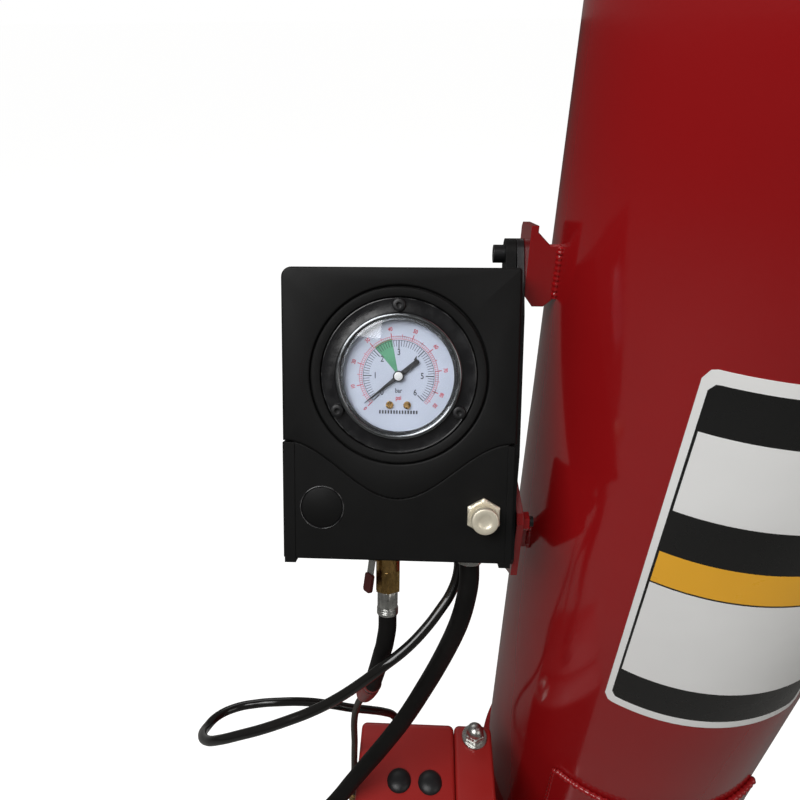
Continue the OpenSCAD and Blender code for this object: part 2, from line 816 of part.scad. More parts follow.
// Cap, skirt and stem of the bleed valve
module bleed_button() {
    top = 15;
    color("silver")
        at_face(button_at[0], button_at[1]) {
            difference() {
                translate([0, 0, 9]) cylinder(d = button_d, h = top - 9);
                translate([0, 0, 8]) cylinder(d = 14, h = top - 8 - 1.4);
                translate([0, 0, top - 0.5]) cylinder(d = 9, h = 2);
            }
            translate([0, 0, -28]) cylinder(d = 5, h = 28 + top - 1);
        }
}

module button_seal() {
    color([0.1, 0.1, 0.1])
        at_face(button_at[0], button_at[1]) translate([0, 0, -27.5]) ring(5.8, 5, 2);
}

// Coil spring round the stem, drawn as stacked turns joined by a thin sleeve
module button_spring() {
    color("silver")
        at_face(button_at[0], button_at[1]) {
            for (i = [0:7])
                translate([0, 0, -10.4 + i * 3.3])
                    rotate_extrude() translate([4, 0]) circle(0.55, $fn = 16);
            translate([0, 0, -10.9]) ring(7.9, 7.1, 24.2);
        }
}

// A frame on the ball valve: z up its bore, the lever on its -x side
module at_valve(p = [0, 0, 0]) {
    at_box([valve_at[0], valve_at[1], 0]) rotate([0, 0, valve_yaw]) translate(p) children();
}

module valve_body() {
    r = valve_ball_d / 2;
    color("goldenrod")
        at_valve() difference() {
            union() {
                translate([0, 0, valve_end_z]) hex(17.5, 16);
                translate([0, 0, valve_end_z]) cylinder(d = 18, h = manifold_z[0] - valve_end_z);
                translate([0, 0, manifold_z[0] - eps]) cylinder(d = 13, h = 11);
                translate([0, 0, valve_ball_z]) rotate([0, -90, 0]) cylinder(d = 10, h = 12);
            }
            translate([0, 0, valve_end_z - 1]) cylinder(d = 8, h = 80);
            translate([0, 0, valve_end_z - 1]) cylinder(d = 12, h = 13);
            translate([0, 0, valve_ball_z - r - 3]) cylinder(d = 13.4, h = 2 * r + 6);
            translate([0, 0, valve_ball_z]) rotate([0, -90, 0]) cylinder(d = stem_d + 0.1, h = 30);
        }
}

module valve_ball() {
    color("silver")
        at_valve([0, 0, valve_ball_z]) difference() {
            union() {
                sphere(d = valve_ball_d);
                rotate([0, -90, 0]) cylinder(d = stem_d, h = 16.4);
            }
            translate([0, 0, -20]) cylinder(d = valve_bore_d, h = 40);
        }
}

module valve_seats() {
    r = valve_ball_d / 2;
    color("white")
        at_valve([0, 0, valve_ball_z]) difference() {
            for (z = [-r - 2.9, r - 0.9])
                translate([0, 0, z]) ring(13.3, 8, 3.8);
            sphere(d = valve_ball_d + 0.06);
        }
}

// Flat lever on the ball's stem; it hangs along the valve when the valve is open
module valve_lever() {
    color("silver")
        at_valve([-lever_off, 0, valve_ball_z]) {
            rotate([0, -90, 0]) difference() {
                cylinder(d = 10, h = 1.6);
                translate([0, 0, -1]) cylinder(d = stem_d, h = 4);
            }
            rotate([0, lever_tilt, 0]) translate([-1.6, -3.6, -14]) cube([1.6, 7.2, 10.5]);
            translate([-1.6, 0, 0]) rotate([0, -90, 0]) difference() {
                hex(7, 2.6);
                translate([0, 0, -1]) cylinder(d = stem_d, h = 5);
            }
        }
}

module lever_sleeve() {
    color("maroon")
        at_valve([-lever_off, 0, valve_ball_z])
            rotate([0, lever_tilt, 0]) translate([-2.4, -4.8, -lever_len])
                cube([3.2, 9.6, lever_len - 14]);
}

// Zinc hexagon nipple, its collar and the crimped ferrule on the tyre hose
module hose_nipple() {
    color("lightgray")
        at_valve() {
            translate([0, 0, -151]) hex(15, 151 + valve_end_z);
            translate([0, 0, -157]) cylinder(d = 16.4, h = 6 + eps);
            translate([0, 0, valve_end_z - eps]) cylinder(d = 11.6, h = 11);
        }
}

module tube_fitting() {
    color([0.12, 0.12, 0.12])
        at_box([tube_at[0], tube_at[1], 0]) {
            translate([0, 0, fitting_end_z]) cylinder(d = 13, h = -93 - fitting_end_z);
            translate([0, 0, -93]) cylinder(d = 14, h = 93 + manifold_z[0]);
            translate([0, 0, manifold_z[0] - eps]) cylinder(d = 9.6, h = 10);
        }
}

module supply_fitting() {
    color("silver")
        at_box([supply_at[0], supply_at[1], 0]) {
            translate([0, 0, fitting_end_z]) cylinder(d = 18, h = 12);
            translate([0, 0, -100]) hex(15, 100 + manifold_z[0]);
            translate([0, 0, manifold_z[0] - eps]) cylinder(d = 11.8, h = 11);
        }
}

// ---------- hoses and what hangs on them ----------

module supply_hose() {
    color([0.07, 0.07, 0.07]) hose(supply_route, supply_od, 12);
}

module plastic_tube() {
    color([0.09, 0.09, 0.09]) hose(tube_route, tube_od, 10);
}

module tyre_hose() {
    color([0.07, 0.07, 0.07]) hose(tyre_route, tyre_od, 12);
}

module whip_hose() {
    color([0.12, 0.1, 0.08]) hose(whip_route, whip_od, 10);
}

// A turned shape from a to b; the outline gives radius against the share of the length
module turned(a, b, outline) {
    v = b - a;
    translate(a)
        rotate([0, acos(v[2] / norm(v)), atan2(v[1], v[0])])
            rotate_extrude() polygon([for (p = outline) [p[0], p[1] * norm(v)]]);
}

module inflator_grip() {
    color("crimson")
        turned(grip_from, grip_to, [
            [0, 0], [7.6, 0], [8, 0.08], [8.4, 0.3], [8.4, 0.6],
            [8, 0.84], [6.8, 0.94], [5, 1], [0, 1]
        ]);
}

module air_chuck() {
    color("goldenrod")
        turned(chuck_from, chuck_to, [
            [0, 0], [4.4, 0], [4.4, 0.2], [6, 0.24], [6, 0.52],
            [7.6, 0.56], [7.6, 0.9], [6.4, 1], [3, 1], [3, 0.8], [0, 0.8]
        ]);
}

column_tube();
column_cap();
base_plate();
foot_saddle();
upper_bracket();
lower_bracket();
front_panel();
side_housing();
foot_box();
hole_plugs();
cap_nut();
foot_washer();
hose_gland();
tube_bulkhead();
back_shell();
upper_cover();
lower_cover();
side_plate();
mount_bolts();
mount_nuts();
cover_screws();
blank_plug();
gauge_flange();
gauge_case();
bezel_ring();
gauge_lens();
dial();
dial_screws();
flange_screws();
needle();
pinion();
sector_gear();
movement_frame();
bourdon_tube();
gauge_link();
gauge_socket();
manifold();
button_body();
bleed_button();
button_seal();
button_spring();
valve_body();
valve_ball();
valve_seats();
valve_lever();
lever_sleeve();
hose_nipple();
tube_fitting();
supply_fitting();
supply_hose();
plastic_tube();
tyre_hose();
inflator_grip();
whip_hose();
air_chuck();
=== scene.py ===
import json
import math
import random

import bmesh
import bpy
from mathutils import Matrix, Vector


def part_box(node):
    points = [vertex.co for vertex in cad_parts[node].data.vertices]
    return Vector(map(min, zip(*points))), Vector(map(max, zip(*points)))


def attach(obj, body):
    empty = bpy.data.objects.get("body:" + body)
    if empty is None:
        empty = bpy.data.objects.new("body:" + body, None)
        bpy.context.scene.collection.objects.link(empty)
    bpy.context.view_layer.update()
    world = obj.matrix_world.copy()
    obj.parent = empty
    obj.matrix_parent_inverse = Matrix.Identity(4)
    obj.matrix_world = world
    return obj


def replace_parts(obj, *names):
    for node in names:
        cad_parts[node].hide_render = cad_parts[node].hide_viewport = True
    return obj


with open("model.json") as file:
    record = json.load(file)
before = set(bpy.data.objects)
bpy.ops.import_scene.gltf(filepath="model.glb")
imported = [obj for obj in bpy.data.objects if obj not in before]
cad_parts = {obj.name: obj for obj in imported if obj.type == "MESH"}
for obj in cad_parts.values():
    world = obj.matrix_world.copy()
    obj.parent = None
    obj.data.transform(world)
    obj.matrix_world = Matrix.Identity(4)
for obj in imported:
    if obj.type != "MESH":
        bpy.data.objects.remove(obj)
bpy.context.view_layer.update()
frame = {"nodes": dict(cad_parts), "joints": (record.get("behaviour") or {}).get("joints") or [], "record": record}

MM = 0.001
X, Y, Z = Vector((1, 0, 0)), Vector((0, 1, 0)), Vector((0, 0, 1))
PI = math.pi


# ---------- camera, floor and light ----------

CAMERA_AT = Vector((-232, -417, 850)) * MM
CAMERA_PITCH = math.radians(33.1)
CAMERA_YAW = math.radians(-2.99)
CAMERA_ROLL = math.radians(-0.69)
CAMERA_LENS = 27.05


def turned(x_axis, y_axis, z_axis, at):
    """The matrix of a frame with these axes at this place."""
    rotation = Matrix((x_axis, y_axis, z_axis)).transposed().to_4x4()
    return Matrix.Translation(at) @ rotation


def make_camera():
    forward = Vector((
        math.sin(CAMERA_YAW) * math.cos(CAMERA_PITCH),
        math.cos(CAMERA_YAW) * math.cos(CAMERA_PITCH),
        -math.sin(CAMERA_PITCH),
    ))
    level = Vector((math.cos(CAMERA_YAW), -math.sin(CAMERA_YAW), 0))
    down = forward.cross(level)
    if down.z > 0:
        down.negate()
    right = math.cos(CAMERA_ROLL) * level - math.sin(CAMERA_ROLL) * down
    down = math.sin(CAMERA_ROLL) * level + math.cos(CAMERA_ROLL) * down
    data = bpy.data.cameras.new("camera")
    data.lens = CAMERA_LENS
    data.sensor_width = 36
    data.clip_start = 0.01
    camera = bpy.data.objects.new("camera", data)
    camera.matrix_world = turned(right, -down, -forward, CAMERA_AT)
    bpy.context.scene.collection.objects.link(camera)
    bpy.context.scene.camera = camera


def area_light(name, at, aim, width, height, watts, tint=(1, 1, 1)):
    data = bpy.data.lights.new(name, "AREA")
    data.shape = "RECTANGLE"
    data.size = width
    data.size_y = height
    data.energy = watts
    data.color = tint
    light = bpy.data.objects.new(name, data)
    light.location = at
    light.rotation_mode = "QUATERNION"
    light.rotation_quaternion = (Vector(aim) - Vector(at)).to_track_quat("-Z", "Y")
    bpy.context.scene.collection.objects.link(light)


def make_light():
    scene = bpy.context.scene
    scene.view_settings.view_transform = "Standard"
    world = bpy.data.worlds.new("studio")
    world.use_nodes = True
    scene.world = world
    tree = world.node_tree
    soft = tree.nodes["Background"]
    soft.inputs["Color"].default_value = (1.0, 0.98, 0.95, 1)
    soft.inputs["Strength"].default_value = 0.15
    pale = add_node(tree, "Background", {"Color": (1, 1, 1, 1), "Strength": 1.0})
    seen = add_node(tree, "LightPath", {}).outputs["Is Camera Ray"]
    mix = add_node(tree, "MixShader", {0: seen, 1: soft.outputs[0], 2: pale.outputs[0]})
    tree.links.new(mix.outputs[0], tree.nodes["World Output"].inputs["Surface"])
    middle = (-0.2, -0.1, 0.45)
    area_light("key", (-1.1, -1.0, 2.2), middle, 1.3, 1.3, 41)
    area_light("fill", (1.5, -1.4, 1.6), middle, 1.2, 1.2, 7, (1, 0.97, 0.93))
    area_light("back", (-0.9, 1.8, 1.9), middle, 1.4, 1.0, 6)
    area_light("window", (-0.60, -1.66, 1.60), (-0.25, -0.07, 0.64), 0.42, 0.30, 1.7)


# ---------- places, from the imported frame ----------

joints = {j["name"]: j for j in frame["joints"]}
INTO = Vector(joints["needle_turn"]["axis"]).normalized()
OUT = -INTO
UP = OUT.cross(X)
GAUGE_AT = Vector(joints["needle_turn"]["pos_m"])
VALVE_AT = Vector(joints["lever_turn"]["pos_m"])
GAUGE_UP = 28.1
FACE_AT = GAUGE_AT - UP * GAUGE_UP * MM


def on_face(x, up, out=0.0):
    """A frame on the box's front: x right, y up the face, z out of it, in millimetres."""
    at = FACE_AT + (X * x + UP * up + OUT * out) * MM
    return turned(X, UP, OUT, at)


def below_box(x, into, up):
    """A frame on a fitting under the box, with z pointing down out of it."""
    at = FACE_AT + (X * x + INTO * into + UP * up) * MM
    return turned(X, -INTO, -UP, at)


def along(start, end):
    """A frame at start with its z axis towards end."""
    z = (Vector(end) - Vector(start)).normalized()
    x = Y.cross(z).normalized()
    return turned(x, z.cross(x), z, Vector(start))


# ---------- nodes and materials ----------

def add_node(tree, kind, inputs, **settings):
    node = tree.nodes.new("ShaderNode" + kind)
    for key, value in settings.items():
        setattr(node, key, value)
    for key, value in inputs.items():
        if isinstance(value, bpy.types.NodeSocket):
            tree.links.new(value, node.inputs[key])
        else:
            node.inputs[key].default_value = value
    return node


def noise(tree, place, scale, detail=3.0, distortion=0.0):
    return add_node(tree, "TexNoise", {
        "Vector": place, "Scale": scale, "Detail": detail, "Distortion": distortion,
    }).outputs[0]


def ramp(tree, value, low, high, to_low=0.0, to_high=1.0):
    return add_node(tree, "MapRange", {
        "Value": value, "From Min": low, "From Max": high, "To Min": to_low, "To Max": to_high,
    }).outputs[0]


def times(tree, a, b):
    return add_node(tree, "Math", {0: a, 1: b}, operation="MULTIPLY").outputs[0]


def blend_colour(tree, share, a, b):
    return add_node(tree, "Mix", {0: share, 6: a, 7: b}, data_type="RGBA").outputs[2]


def rgba(colour, gain=1.0):
    return tuple(min(1.0, c * gain) for c in colour) + (1.0,)


def surface(slot, colour, rough, metal=0.0, tint=0.15, patch=9.0, grain=700.0, relief=0.06,
            depth=0.0002, span=0.08, edge_wear_and_highlight_colour=None, edge_wear_and_highlight_share=0.35, edge=0.0006, coat=0.0,
            coat_rough=0.06, specular=0.5, stretch=(1, 1, 1), wave=0.0):
    """A material with colour patches, fine grain, uneven gloss, and softened edges tinted towards an edge colour:
    wear on most materials, and a painted highlight on the grip.
    """
    material = bpy.data.materials.new(slot)
    material.use_nodes = True
    tree = material.node_tree
    shader = tree.nodes["Principled BSDF"]
    shader.inputs["Metallic"].default_value = metal
    shader.inputs["Coat Weight"].default_value = coat
    shader.inputs["Coat Roughness"].default_value = coat_rough
    shader.inputs["Specular IOR Level"].default_value = specular
    spot = add_node(tree, "TexCoord", {}).outputs["Object"]
    place = add_node(tree, "Mapping", {"Vector": spot, "Scale": stretch}).outputs[0]
    cloud = noise(tree, place, patch)
    fine = noise(tree, place, grain, 2.0)
    colour_now = blend_colour(tree, ramp(tree, cloud, 0.3, 0.7), rgba(colour, 1 - tint),
                              rgba(colour, 1 + tint))
    soft = add_node(tree, "Bevel", {"Radius": edge}, samples=4).outputs[0]
    # The edge colour is mixed in where the bevelled normal turns away from the true one, broken up by noise: wear
    # on most materials, and on the grip a painted highlight.
    if edge_wear_and_highlight_colour is not None:
        hard = add_node(tree, "NewGeometry", {}).outputs["Normal"]
        turn = add_node(tree, "VectorMath", {0: soft, 1: hard}, operation="DOT_PRODUCT").outputs[1]
        edge_wear_and_highlight_mask = times(tree, ramp(tree, turn, 0.995, 0.9),
                       ramp(tree, noise(tree, place, 160.0, 4.0), 0.42, 0.62))
        colour_now = blend_colour(tree, times(tree, edge_wear_and_highlight_mask, edge_wear_and_highlight_share), colour_now, rgba(edge_wear_and_highlight_colour))
    tree.links.new(colour_now, shader.inputs["Base Color"])
    gloss = noise(tree, place, patch * 5, 5.0)
    tree.links.new(ramp(tree, gloss, 0.3, 0.7, rough - span / 2, rough + span / 2),
                   shader.inputs["Roughness"])
    normal = soft
    if wave:
        swell = noise(tree, place, 14.0, 1.0)
        normal = add_node(tree, "Bump", {"Strength": wave, "Distance": 0.004, "Height": swell,
                                         "Normal": normal}).outputs[0]
    normal = add_node(tree, "Bump", {"Strength": relief, "Distance": depth, "Height": fine,
                                     "Normal": normal}).outputs[0]
    tree.links.new(normal, shader.inputs["Normal"])
    return material


def lens_material():
    """Clear plastic that lamps shine through, with a fine haze on its surface."""
    material = bpy.data.materials.new("lens")
    material.use_nodes = True
    tree = material.node_tree
    shader = tree.nodes["Principled BSDF"]
    shader.inputs["Base Color"].default_value = (0.97, 0.98, 1.0, 1)
    shader.inputs["Transmission Weight"].default_value = 1.0
    shader.inputs["IOR"].default_value = 1.47
    spot = add_node(tree, "TexCoord", {}).outputs["Object"]
    haze = noise(tree, spot, 60.0, 4.0)
    tree.links.new(ramp(tree, haze, 0.4, 0.8, 0.012, 0.05), shader.inputs["Roughness"])
    shadow = add_node(tree, "LightPath", {}).outputs["Is Shadow Ray"]
    clear = add_node(tree, "BsdfTransparent", {"Color": (0.97, 0.98, 1.0, 1)})
    mix = add_node(tree, "MixShader", {0: shadow, 1: shader.outputs[0], 2: clear.outputs[0]})
    tree.links.new(mix.outputs[0], tree.nodes["Material Output"].inputs["Surface"])
    return material


def make_materials():
    """One material for each of the record's slots, and some for prints and small parts."""
    made = {"lens": lens_material()}
    rows = [
        ("red_paint", (0.29, 0.0065, 0.008), 0.13, dict(
            tint=0.08, patch=4, grain=240, relief=0.10, edge_wear_and_highlight_colour=(0.36, 0.03, 0.03), coat=0.15,
            coat_rough=0.05, wave=0.10, edge=0.001)),
        ("housing_paint", (0.31, 0.014, 0.012), 0.34, dict(
            tint=0.08, patch=7, grain=420, relief=0.14, edge_wear_and_highlight_colour=(0.5, 0.12, 0.1), edge=0.001)),
        ("panel_print", (0.88, 0.88, 0.87), 0.32, dict(tint=0.04, relief=0.03)),
        ("hard_rubber", (0.010, 0.010, 0.011), 0.40, dict(
            edge_wear_and_highlight_colour=(0.04, 0.04, 0.04), relief=0.2, specular=0.35)),
        ("zinc", (0.52, 0.52, 0.50), 0.30, dict(
            metal=1.0, tint=0.10, patch=110, grain=1400, relief=0.10, edge_wear_and_highlight_colour=(0.75, 0.75, 0.72),
            edge_wear_and_highlight_share=0.2, span=0.12)),
        ("black_nylon", (0.016, 0.016, 0.017), 0.46, dict(edge_wear_and_highlight_colour=(0.05, 0.05, 0.05), relief=0.18)),
        ("black_shell", (0.0045, 0.0045, 0.0045), 0.50, dict(
            tint=0.14, patch=14, grain=2200, relief=0.30, edge_wear_and_highlight_colour=(0.02, 0.02, 0.02),
            specular=0.16, edge=0.0008)),
        ("black_steel", (0.012, 0.012, 0.013), 0.36, dict(
            grain=1500, relief=0.22, edge_wear_and_highlight_colour=(0.12, 0.12, 0.12), metal=0.35)),
        ("black_gloss", (0.007, 0.007, 0.008), 0.17, dict(
            tint=0.3, patch=26, grain=520, relief=0.16, edge_wear_and_highlight_colour=(0.3, 0.3, 0.3), edge_wear_and_highlight_share=0.6,
            span=0.16, edge=0.0005, wave=0.16)),
        ("bezel", (0.20, 0.21, 0.22), 0.20, dict(metal=1.0, patch=40, relief=0.06, span=0.14)),
        ("dial_white", (0.37, 0.40, 0.465), 0.42, dict(tint=0.05, patch=40, relief=0.05)),
        ("needle_black", (0.012, 0.012, 0.013), 0.38, dict(tint=0.2, patch=80)),
        ("brass", (0.50, 0.31, 0.11), 0.26, dict(
            metal=1.0, patch=70, grain=1200, relief=0.16, span=0.18, edge_wear_and_highlight_colour=(0.8, 0.6, 0.3),
            stretch=(1, 1, 0.25))),
        ("alloy", (0.58, 0.58, 0.58), 0.42, dict(metal=1.0, patch=50, relief=0.2)),
        ("nickel", (0.93, 0.86, 0.69), 0.36, dict(
            metal=0.65, tint=0.05, patch=240, grain=2600, relief=0.14, span=0.1,
            edge_wear_and_highlight_colour=(0.95, 0.93, 0.88), edge=0.0004)),
        ("ptfe", (0.8, 0.8, 0.78), 0.5, dict(tint=0.04)),
        ("lever_red", (0.05, 0.006, 0.005), 0.36, dict(
            edge_wear_and_highlight_colour=(0.2, 0.04, 0.04), relief=0.12, specular=0.3)),
        ("hose_rubber", (0.004, 0.0036, 0.0034), 0.50, dict(
            tint=0.25, patch=30, grain=900, relief=0.34, specular=0.16)),
        ("tube_pu", (0.006, 0.0055, 0.005), 0.15, dict(
            tint=0.2, patch=22, grain=300, relief=0.08, coat=0.4, span=0.1, specular=0.35)),
        # The grip's beige edge colour is a painted highlight, the pale reflection seen on its glossy red, laid on
        # its edges like wear.
        ("grip_red", (0.22, 0.022, 0.02), 0.34, dict(
            tint=0.35, patch=30, grain=500, relief=0.14, edge_wear_and_highlight_colour=(0.45, 0.30, 0.22))),
    ]
    for slot, colour, rough, more in rows:
        made[slot] = surface(slot, colour, rough, **more)
    made["whip_rubber"] = surface("whip_rubber", (0.030, 0.022, 0.016), 0.40, relief=0.3, patch=30)
    made["ink_black"] = surface("ink_black", (0.02, 0.02, 0.022), 0.4, tint=0.2, patch=90)
    made["ink_red"] = surface("ink_red", (0.45, 0.02, 0.03), 0.4, tint=0.1, patch=90)
    made["ink_green"] = surface("ink_green", (0.07, 0.24, 0.13), 0.4, tint=0.1, patch=90)
    made["label_black"] = surface("label_black", (0.006, 0.006, 0.006), 0.28, tint=0.2, relief=0.03)
    made["label_yellow"] = surface("label_yellow", (0.92, 0.46, 0.03), 0.3, tint=0.05, relief=0.03)
    made["hub_metal"] = surface("hub_metal", (0.72, 0.72, 0.70), 0.35, metal=0.6, patch=90)
    return made


materials = make_materials()


def finish_piece(piece, body, slot, material=None):
    """Give a new piece its material, its slot and the body that it rides on."""
    piece.data.materials.append(materials[material or slot])
    bpy.context.scene.collection.objects.link(piece)
    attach(piece, body)
    return piece


# ---------- mesh makers ----------

def solid(name, points, faces, sharp=32.0):
    """A piece from points and faces, smooth except where faces meet at more than sharp degrees."""
    mesh = bpy.data.meshes.new(name)
    mesh.from_pydata(points, [], faces)
    work = bmesh.new()
    work.from_mesh(mesh)
    bmesh.ops.remove_doubles(work, verts=work.verts, dist=1e-7)
    bmesh.ops.recalc_face_normals(work, faces=work.faces)
    work.to_mesh(mesh)
    work.free()
    mesh.shade_smooth()
    mesh.set_sharp_from_angle(angle=math.radians(sharp))
    return bpy.data.objects.new(name, mesh)


def lathe(name, place, profile, sides=64, flats=None, ring=False):
    """Turn a profile of (radius, height) in millimetres about the place's z axis.
    With flats, the radius is cut to a hexagon of that width across its flats. A ring's
    profile is closed, and any other profile gets a flat end where it stops off the axis."""
    points, faces = [], []
    rows = len(profile)
    for radius, height in profile:
        for i in range(sides):
            angle = 2 * PI * i / sides
            r = radius
            if flats:
                off_flat = (angle + PI / 6) % (PI / 3) - PI / 6
                r = min(r, flats / 2 / math.cos(off_flat))
            points.append(place @ (Vector((r * math.cos(angle), r * math.sin(angle), height)) * MM))
    for k in range(rows if ring else rows - 1):
        m = (k + 1) % rows
        for i in range(sides):
            j = (i + 1) % sides
            faces.append((k * sides + i, k * sides + j, m * sides + j, m * sides + i))
    if not ring and profile[0][0] > 0:
        faces.append(tuple(range(sides))[::-1])
    if not ring and profile[-1][0] > 0:
        faces.append(tuple(range((rows - 1) * sides, rows * sides)))
    return solid(name, points, faces)


def prism_nut(name, place, across, height, top=None, bore=0.0):
    """A hexagon with chamfered corners; top is the profile above it. A bore makes it a ring."""
    corner = across / 2 / math.cos(PI / 6)
    cut = corner - across / 2
    profile = [(bore, 0), (across / 2 - 0.2, 0), (corner, cut * 0.6), (corner, height - cut * 0.6),
               (across / 2 - 0.2, height)]
    profile += top or [(bore, height)]
    return lathe(name, place, profile, 72, across, ring=bore > 0)


def inset(outline, distance):
    """The closed outline moved inwards; it runs anticlockwise."""
    moved = []
    n = len(outline)
    for i in range(n):
        a, b, c = outline[i - 1], outline[i], outline[(i + 1) % n]
        into = (b - a).normalized() + (c - b).normalized()
        across = Vector((-into.y, into.x)).normalized()
        turn = max(0.5, across.dot(Vector((-(b - a).y, (b - a).x)).normalized()))
        moved.append(b + across * (distance / turn))
    return moved


def circle_points(centre, radius, sides):
    angles = [2 * PI * i / sides for i in range(sides)]
    return [Vector(centre) + radius * Vector((math.cos(a), math.sin(a))) for a in angles]


def shell(name, place, outline, depth, wall, edge, holes=(), sharp=32.0, steps=5):
    """A moulded cover: a flat face with a rounded rim, side walls to the depth given, hollow
    behind unless its wall is as thick as it is deep. Each hole is (centre, profile), the
    profile running from the face to its back."""
    work = bmesh.new()

    def loop(points, height):
        return [work.verts.new(place @ (Vector((p.x, p.y, height)) * MM)) for p in points]

    def skin(a, b):
        n = len(a)
        for i in range(n):
            j = (i + 1) % n
            work.faces.new((a[i], a[j], b[j], b[i]))

    def cap(loops):
        edges = set()
        for ring in loops:
            for i, v in enumerate(ring):
                w = ring[(i + 1) % len(ring)]
                edges.add(work.edges.get((v, w)) or work.edges.new((v, w)))
        bmesh.ops.triangle_fill(work, use_beauty=True, use_dissolve=False, edges=list(edges))

    face_rim = None
    previous = None
    for k in range(steps + 1):
        a = PI / 2 * k / steps
        ring = loop(inset(outline, edge * (1 - math.sin(a))), -edge * (1 - math.cos(a)))
        if previous:
            skin(previous, ring)
        face_rim = face_rim or ring
        previous = ring
    rims = [(outline, -depth)]
    if depth > wall:
        rims += [(inset(outline, wall), -depth), (inset(outline, wall), -wall)]
    for points, height in rims:
        back_rim = loop(points, height)
        skin(previous, back_rim)
        previous = back_rim
    front, back = [face_rim], [back_rim]
    for centre, profile in holes:
        rings = [loop(circle_points(centre, r, 96), h) for r, h in profile]
        for a, b in zip(rings, rings[1:]):
            skin(a, b)
        front.append(rings[0])
        back.append(rings[-1])
    cap(front)
    cap(back)
    bmesh.ops.recalc_face_normals(work, faces=work.faces)
    mesh = bpy.data.meshes.new(name)
    work.to_mesh(mesh)
    work.free()
    mesh.shade_smooth()
    mesh.set_sharp_from_angle(angle=math.radians(sharp))
    return bpy.data.objects.new(name, mesh)


def round_rect(x0, y0, x1, y1, radius, steps=8):
    """An anticlockwise rectangle with round corners."""
    corners = [(x1 - radius, y0 + radius, -PI / 2), (x1 - radius, y1 - radius, 0),
               (x0 + radius, y1 - radius, PI / 2), (x0 + radius, y0 + radius, PI)]
    return [Vector((cx + radius * math.cos(a0 + PI / 2 * i / steps),
                    cy + radius * math.sin(a0 + PI / 2 * i / steps)))
            for cx, cy, a0 in corners for i in range(steps + 1)]


def joined(name, pieces):
    """One piece from several meshes."""
    work = bmesh.new()
    for piece in pieces:
        work.from_mesh(piece.data)
        bpy.data.objects.remove(piece)
    mesh = bpy.data.meshes.new(name)
    work.to_mesh(mesh)
    work.free()
    mesh.set_sharp_from_angle(angle=math.radians(32))
    return bpy.data.objects.new(name, mesh)


# ---------- hoses ----------

def hose(name, node, slot, points, diameter, material=None):
    """A hose as one smooth curve through the route's points, given in millimetres."""
    data = bpy.data.curves.new(name, "CURVE")
    data.dimensions = "3D"
    data.resolution_u = 8
    data.bevel_depth = diameter / 2 * MM
    data.bevel_resolution = 7
    data.use_fill_caps = True
    spline = data.splines.new("BEZIER")
    spline.bezier_points.add(len(points) - 1)
    for knot, point in zip(spline.bezier_points, points):
        knot.co = Vector(point) * MM
        knot.handle_left_type = "AUTO"
        knot.handle_right_type = "AUTO"
    piece = bpy.data.objects.new(name, data)
    finish_piece(piece, "station", slot, material)
    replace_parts(piece, node)
    return piece


SUPPLY_ROUTE = [
    (-198, -106, 504), (-198, -113, 490), (-200, -118, 475), (-203, -120, 457),
    (-207, -120, 438), (-211.5, -119, 419), (-217, -118.5, 399), (-223.5, -119, 379),
    (-231, -120.5, 359), (-239, -122.5, 339), (-248, -125, 319), (-258.5, -128, 299),
    (-270, -131.5, 279), (-282.5, -135.5, 259), (-296, -140.5, 238), (-310, -145.5, 215),
    (-325, -150, 193), (-340, -154, 172), (-354.5, -157, 151.5), (-367.5, -159, 131),
    (-375, -160, 112.5), (-377, -160, 92), (-371.5, -160, 72.5), (-359.5, -160, 56.5),
    (-345, -160, 46), (-329.5, -160, 41), (-313, -160, 40),
]
TUBE_ROUTE = [
    (-205, -90, 497), (-205, -97, 483), (-210, -106, 470), (-219, -115, 459),
    (-230, -125, 449), (-244, -136, 440), (-261, -145, 430), (-280, -150, 413),
    (-299.5, -154.5, 398), (-319, -158, 386), (-339, -161, 376.5), (-359, -163, 367),
    (-379, -163, 356.5), (-398, -161, 344), (-413, -155, 330), (-424, -143, 315),
    (-428, -128, 300), (-423.5, -112.5, 291.5), (-411, -101.5, 286.5), (-392, -96, 285.5),
    (-369.5, -93, 285), (-346, -89, 280), (-323.5, -86, 272), (-302, -82, 260),
    (-284, -76, 247), (-271, -69, 232), (-262, -63, 216), (-257, -61, 198),
    (-256, -60, 168), (-253, -57, 147.5), (-244.5, -47.5, 130), (-233, -35, 120),
    (-221.5, -22.5, 110), (-212, -12, 88), (-210, -10, 72), (-210, -12.6, 59),
    (-210, -20, 48), (-210, -31, 40.8), (-210, -41, 38.5), (-210, -46, 38),
]
TYRE_ROUTE = [
    (-259, -118, 467), (-259, -121, 461), (-259, -123, 457), (-259, -125.5, 452),
    (-259.5, -127.5, 447), (-260.5, -129.5, 441), (-261.5, -131, 435), (-263, -132, 429),
    (-264.5, -132.5, 422), (-266, -133, 415), (-267.5, -133, 408), (-269, -133, 401),
    (-270.5, -132.5, 394), (-272, -132, 387), (-273.5, -130.5, 380),
]
WHIP_ROUTE = [
    (-284, -111, 333), (-286, -108, 324), (-288.5, -105.5, 315), (-291, -103.5, 306),
    (-293, -102, 296), (-295, -101, 285), (-296.5, -100.5, 273), (-297.5, -100, 260),
    (-298, -100, 246), (-298.5, -100, 231), (-299.5, -100, 215), (-300.5, -100, 198),
    (-301.5, -100, 180), (-303, -100, 161), (-304.5, -100, 142), (-305, -100, 122),
]
GRIP_FROM, GRIP_TO = Vector((-272, -132, 387)) * MM, Vector((-284, -111, 333)) * MM
CHUCK_FROM, CHUCK_TO = Vector((-305, -100, 122)) * MM, Vector((-305, -100, 82)) * MM


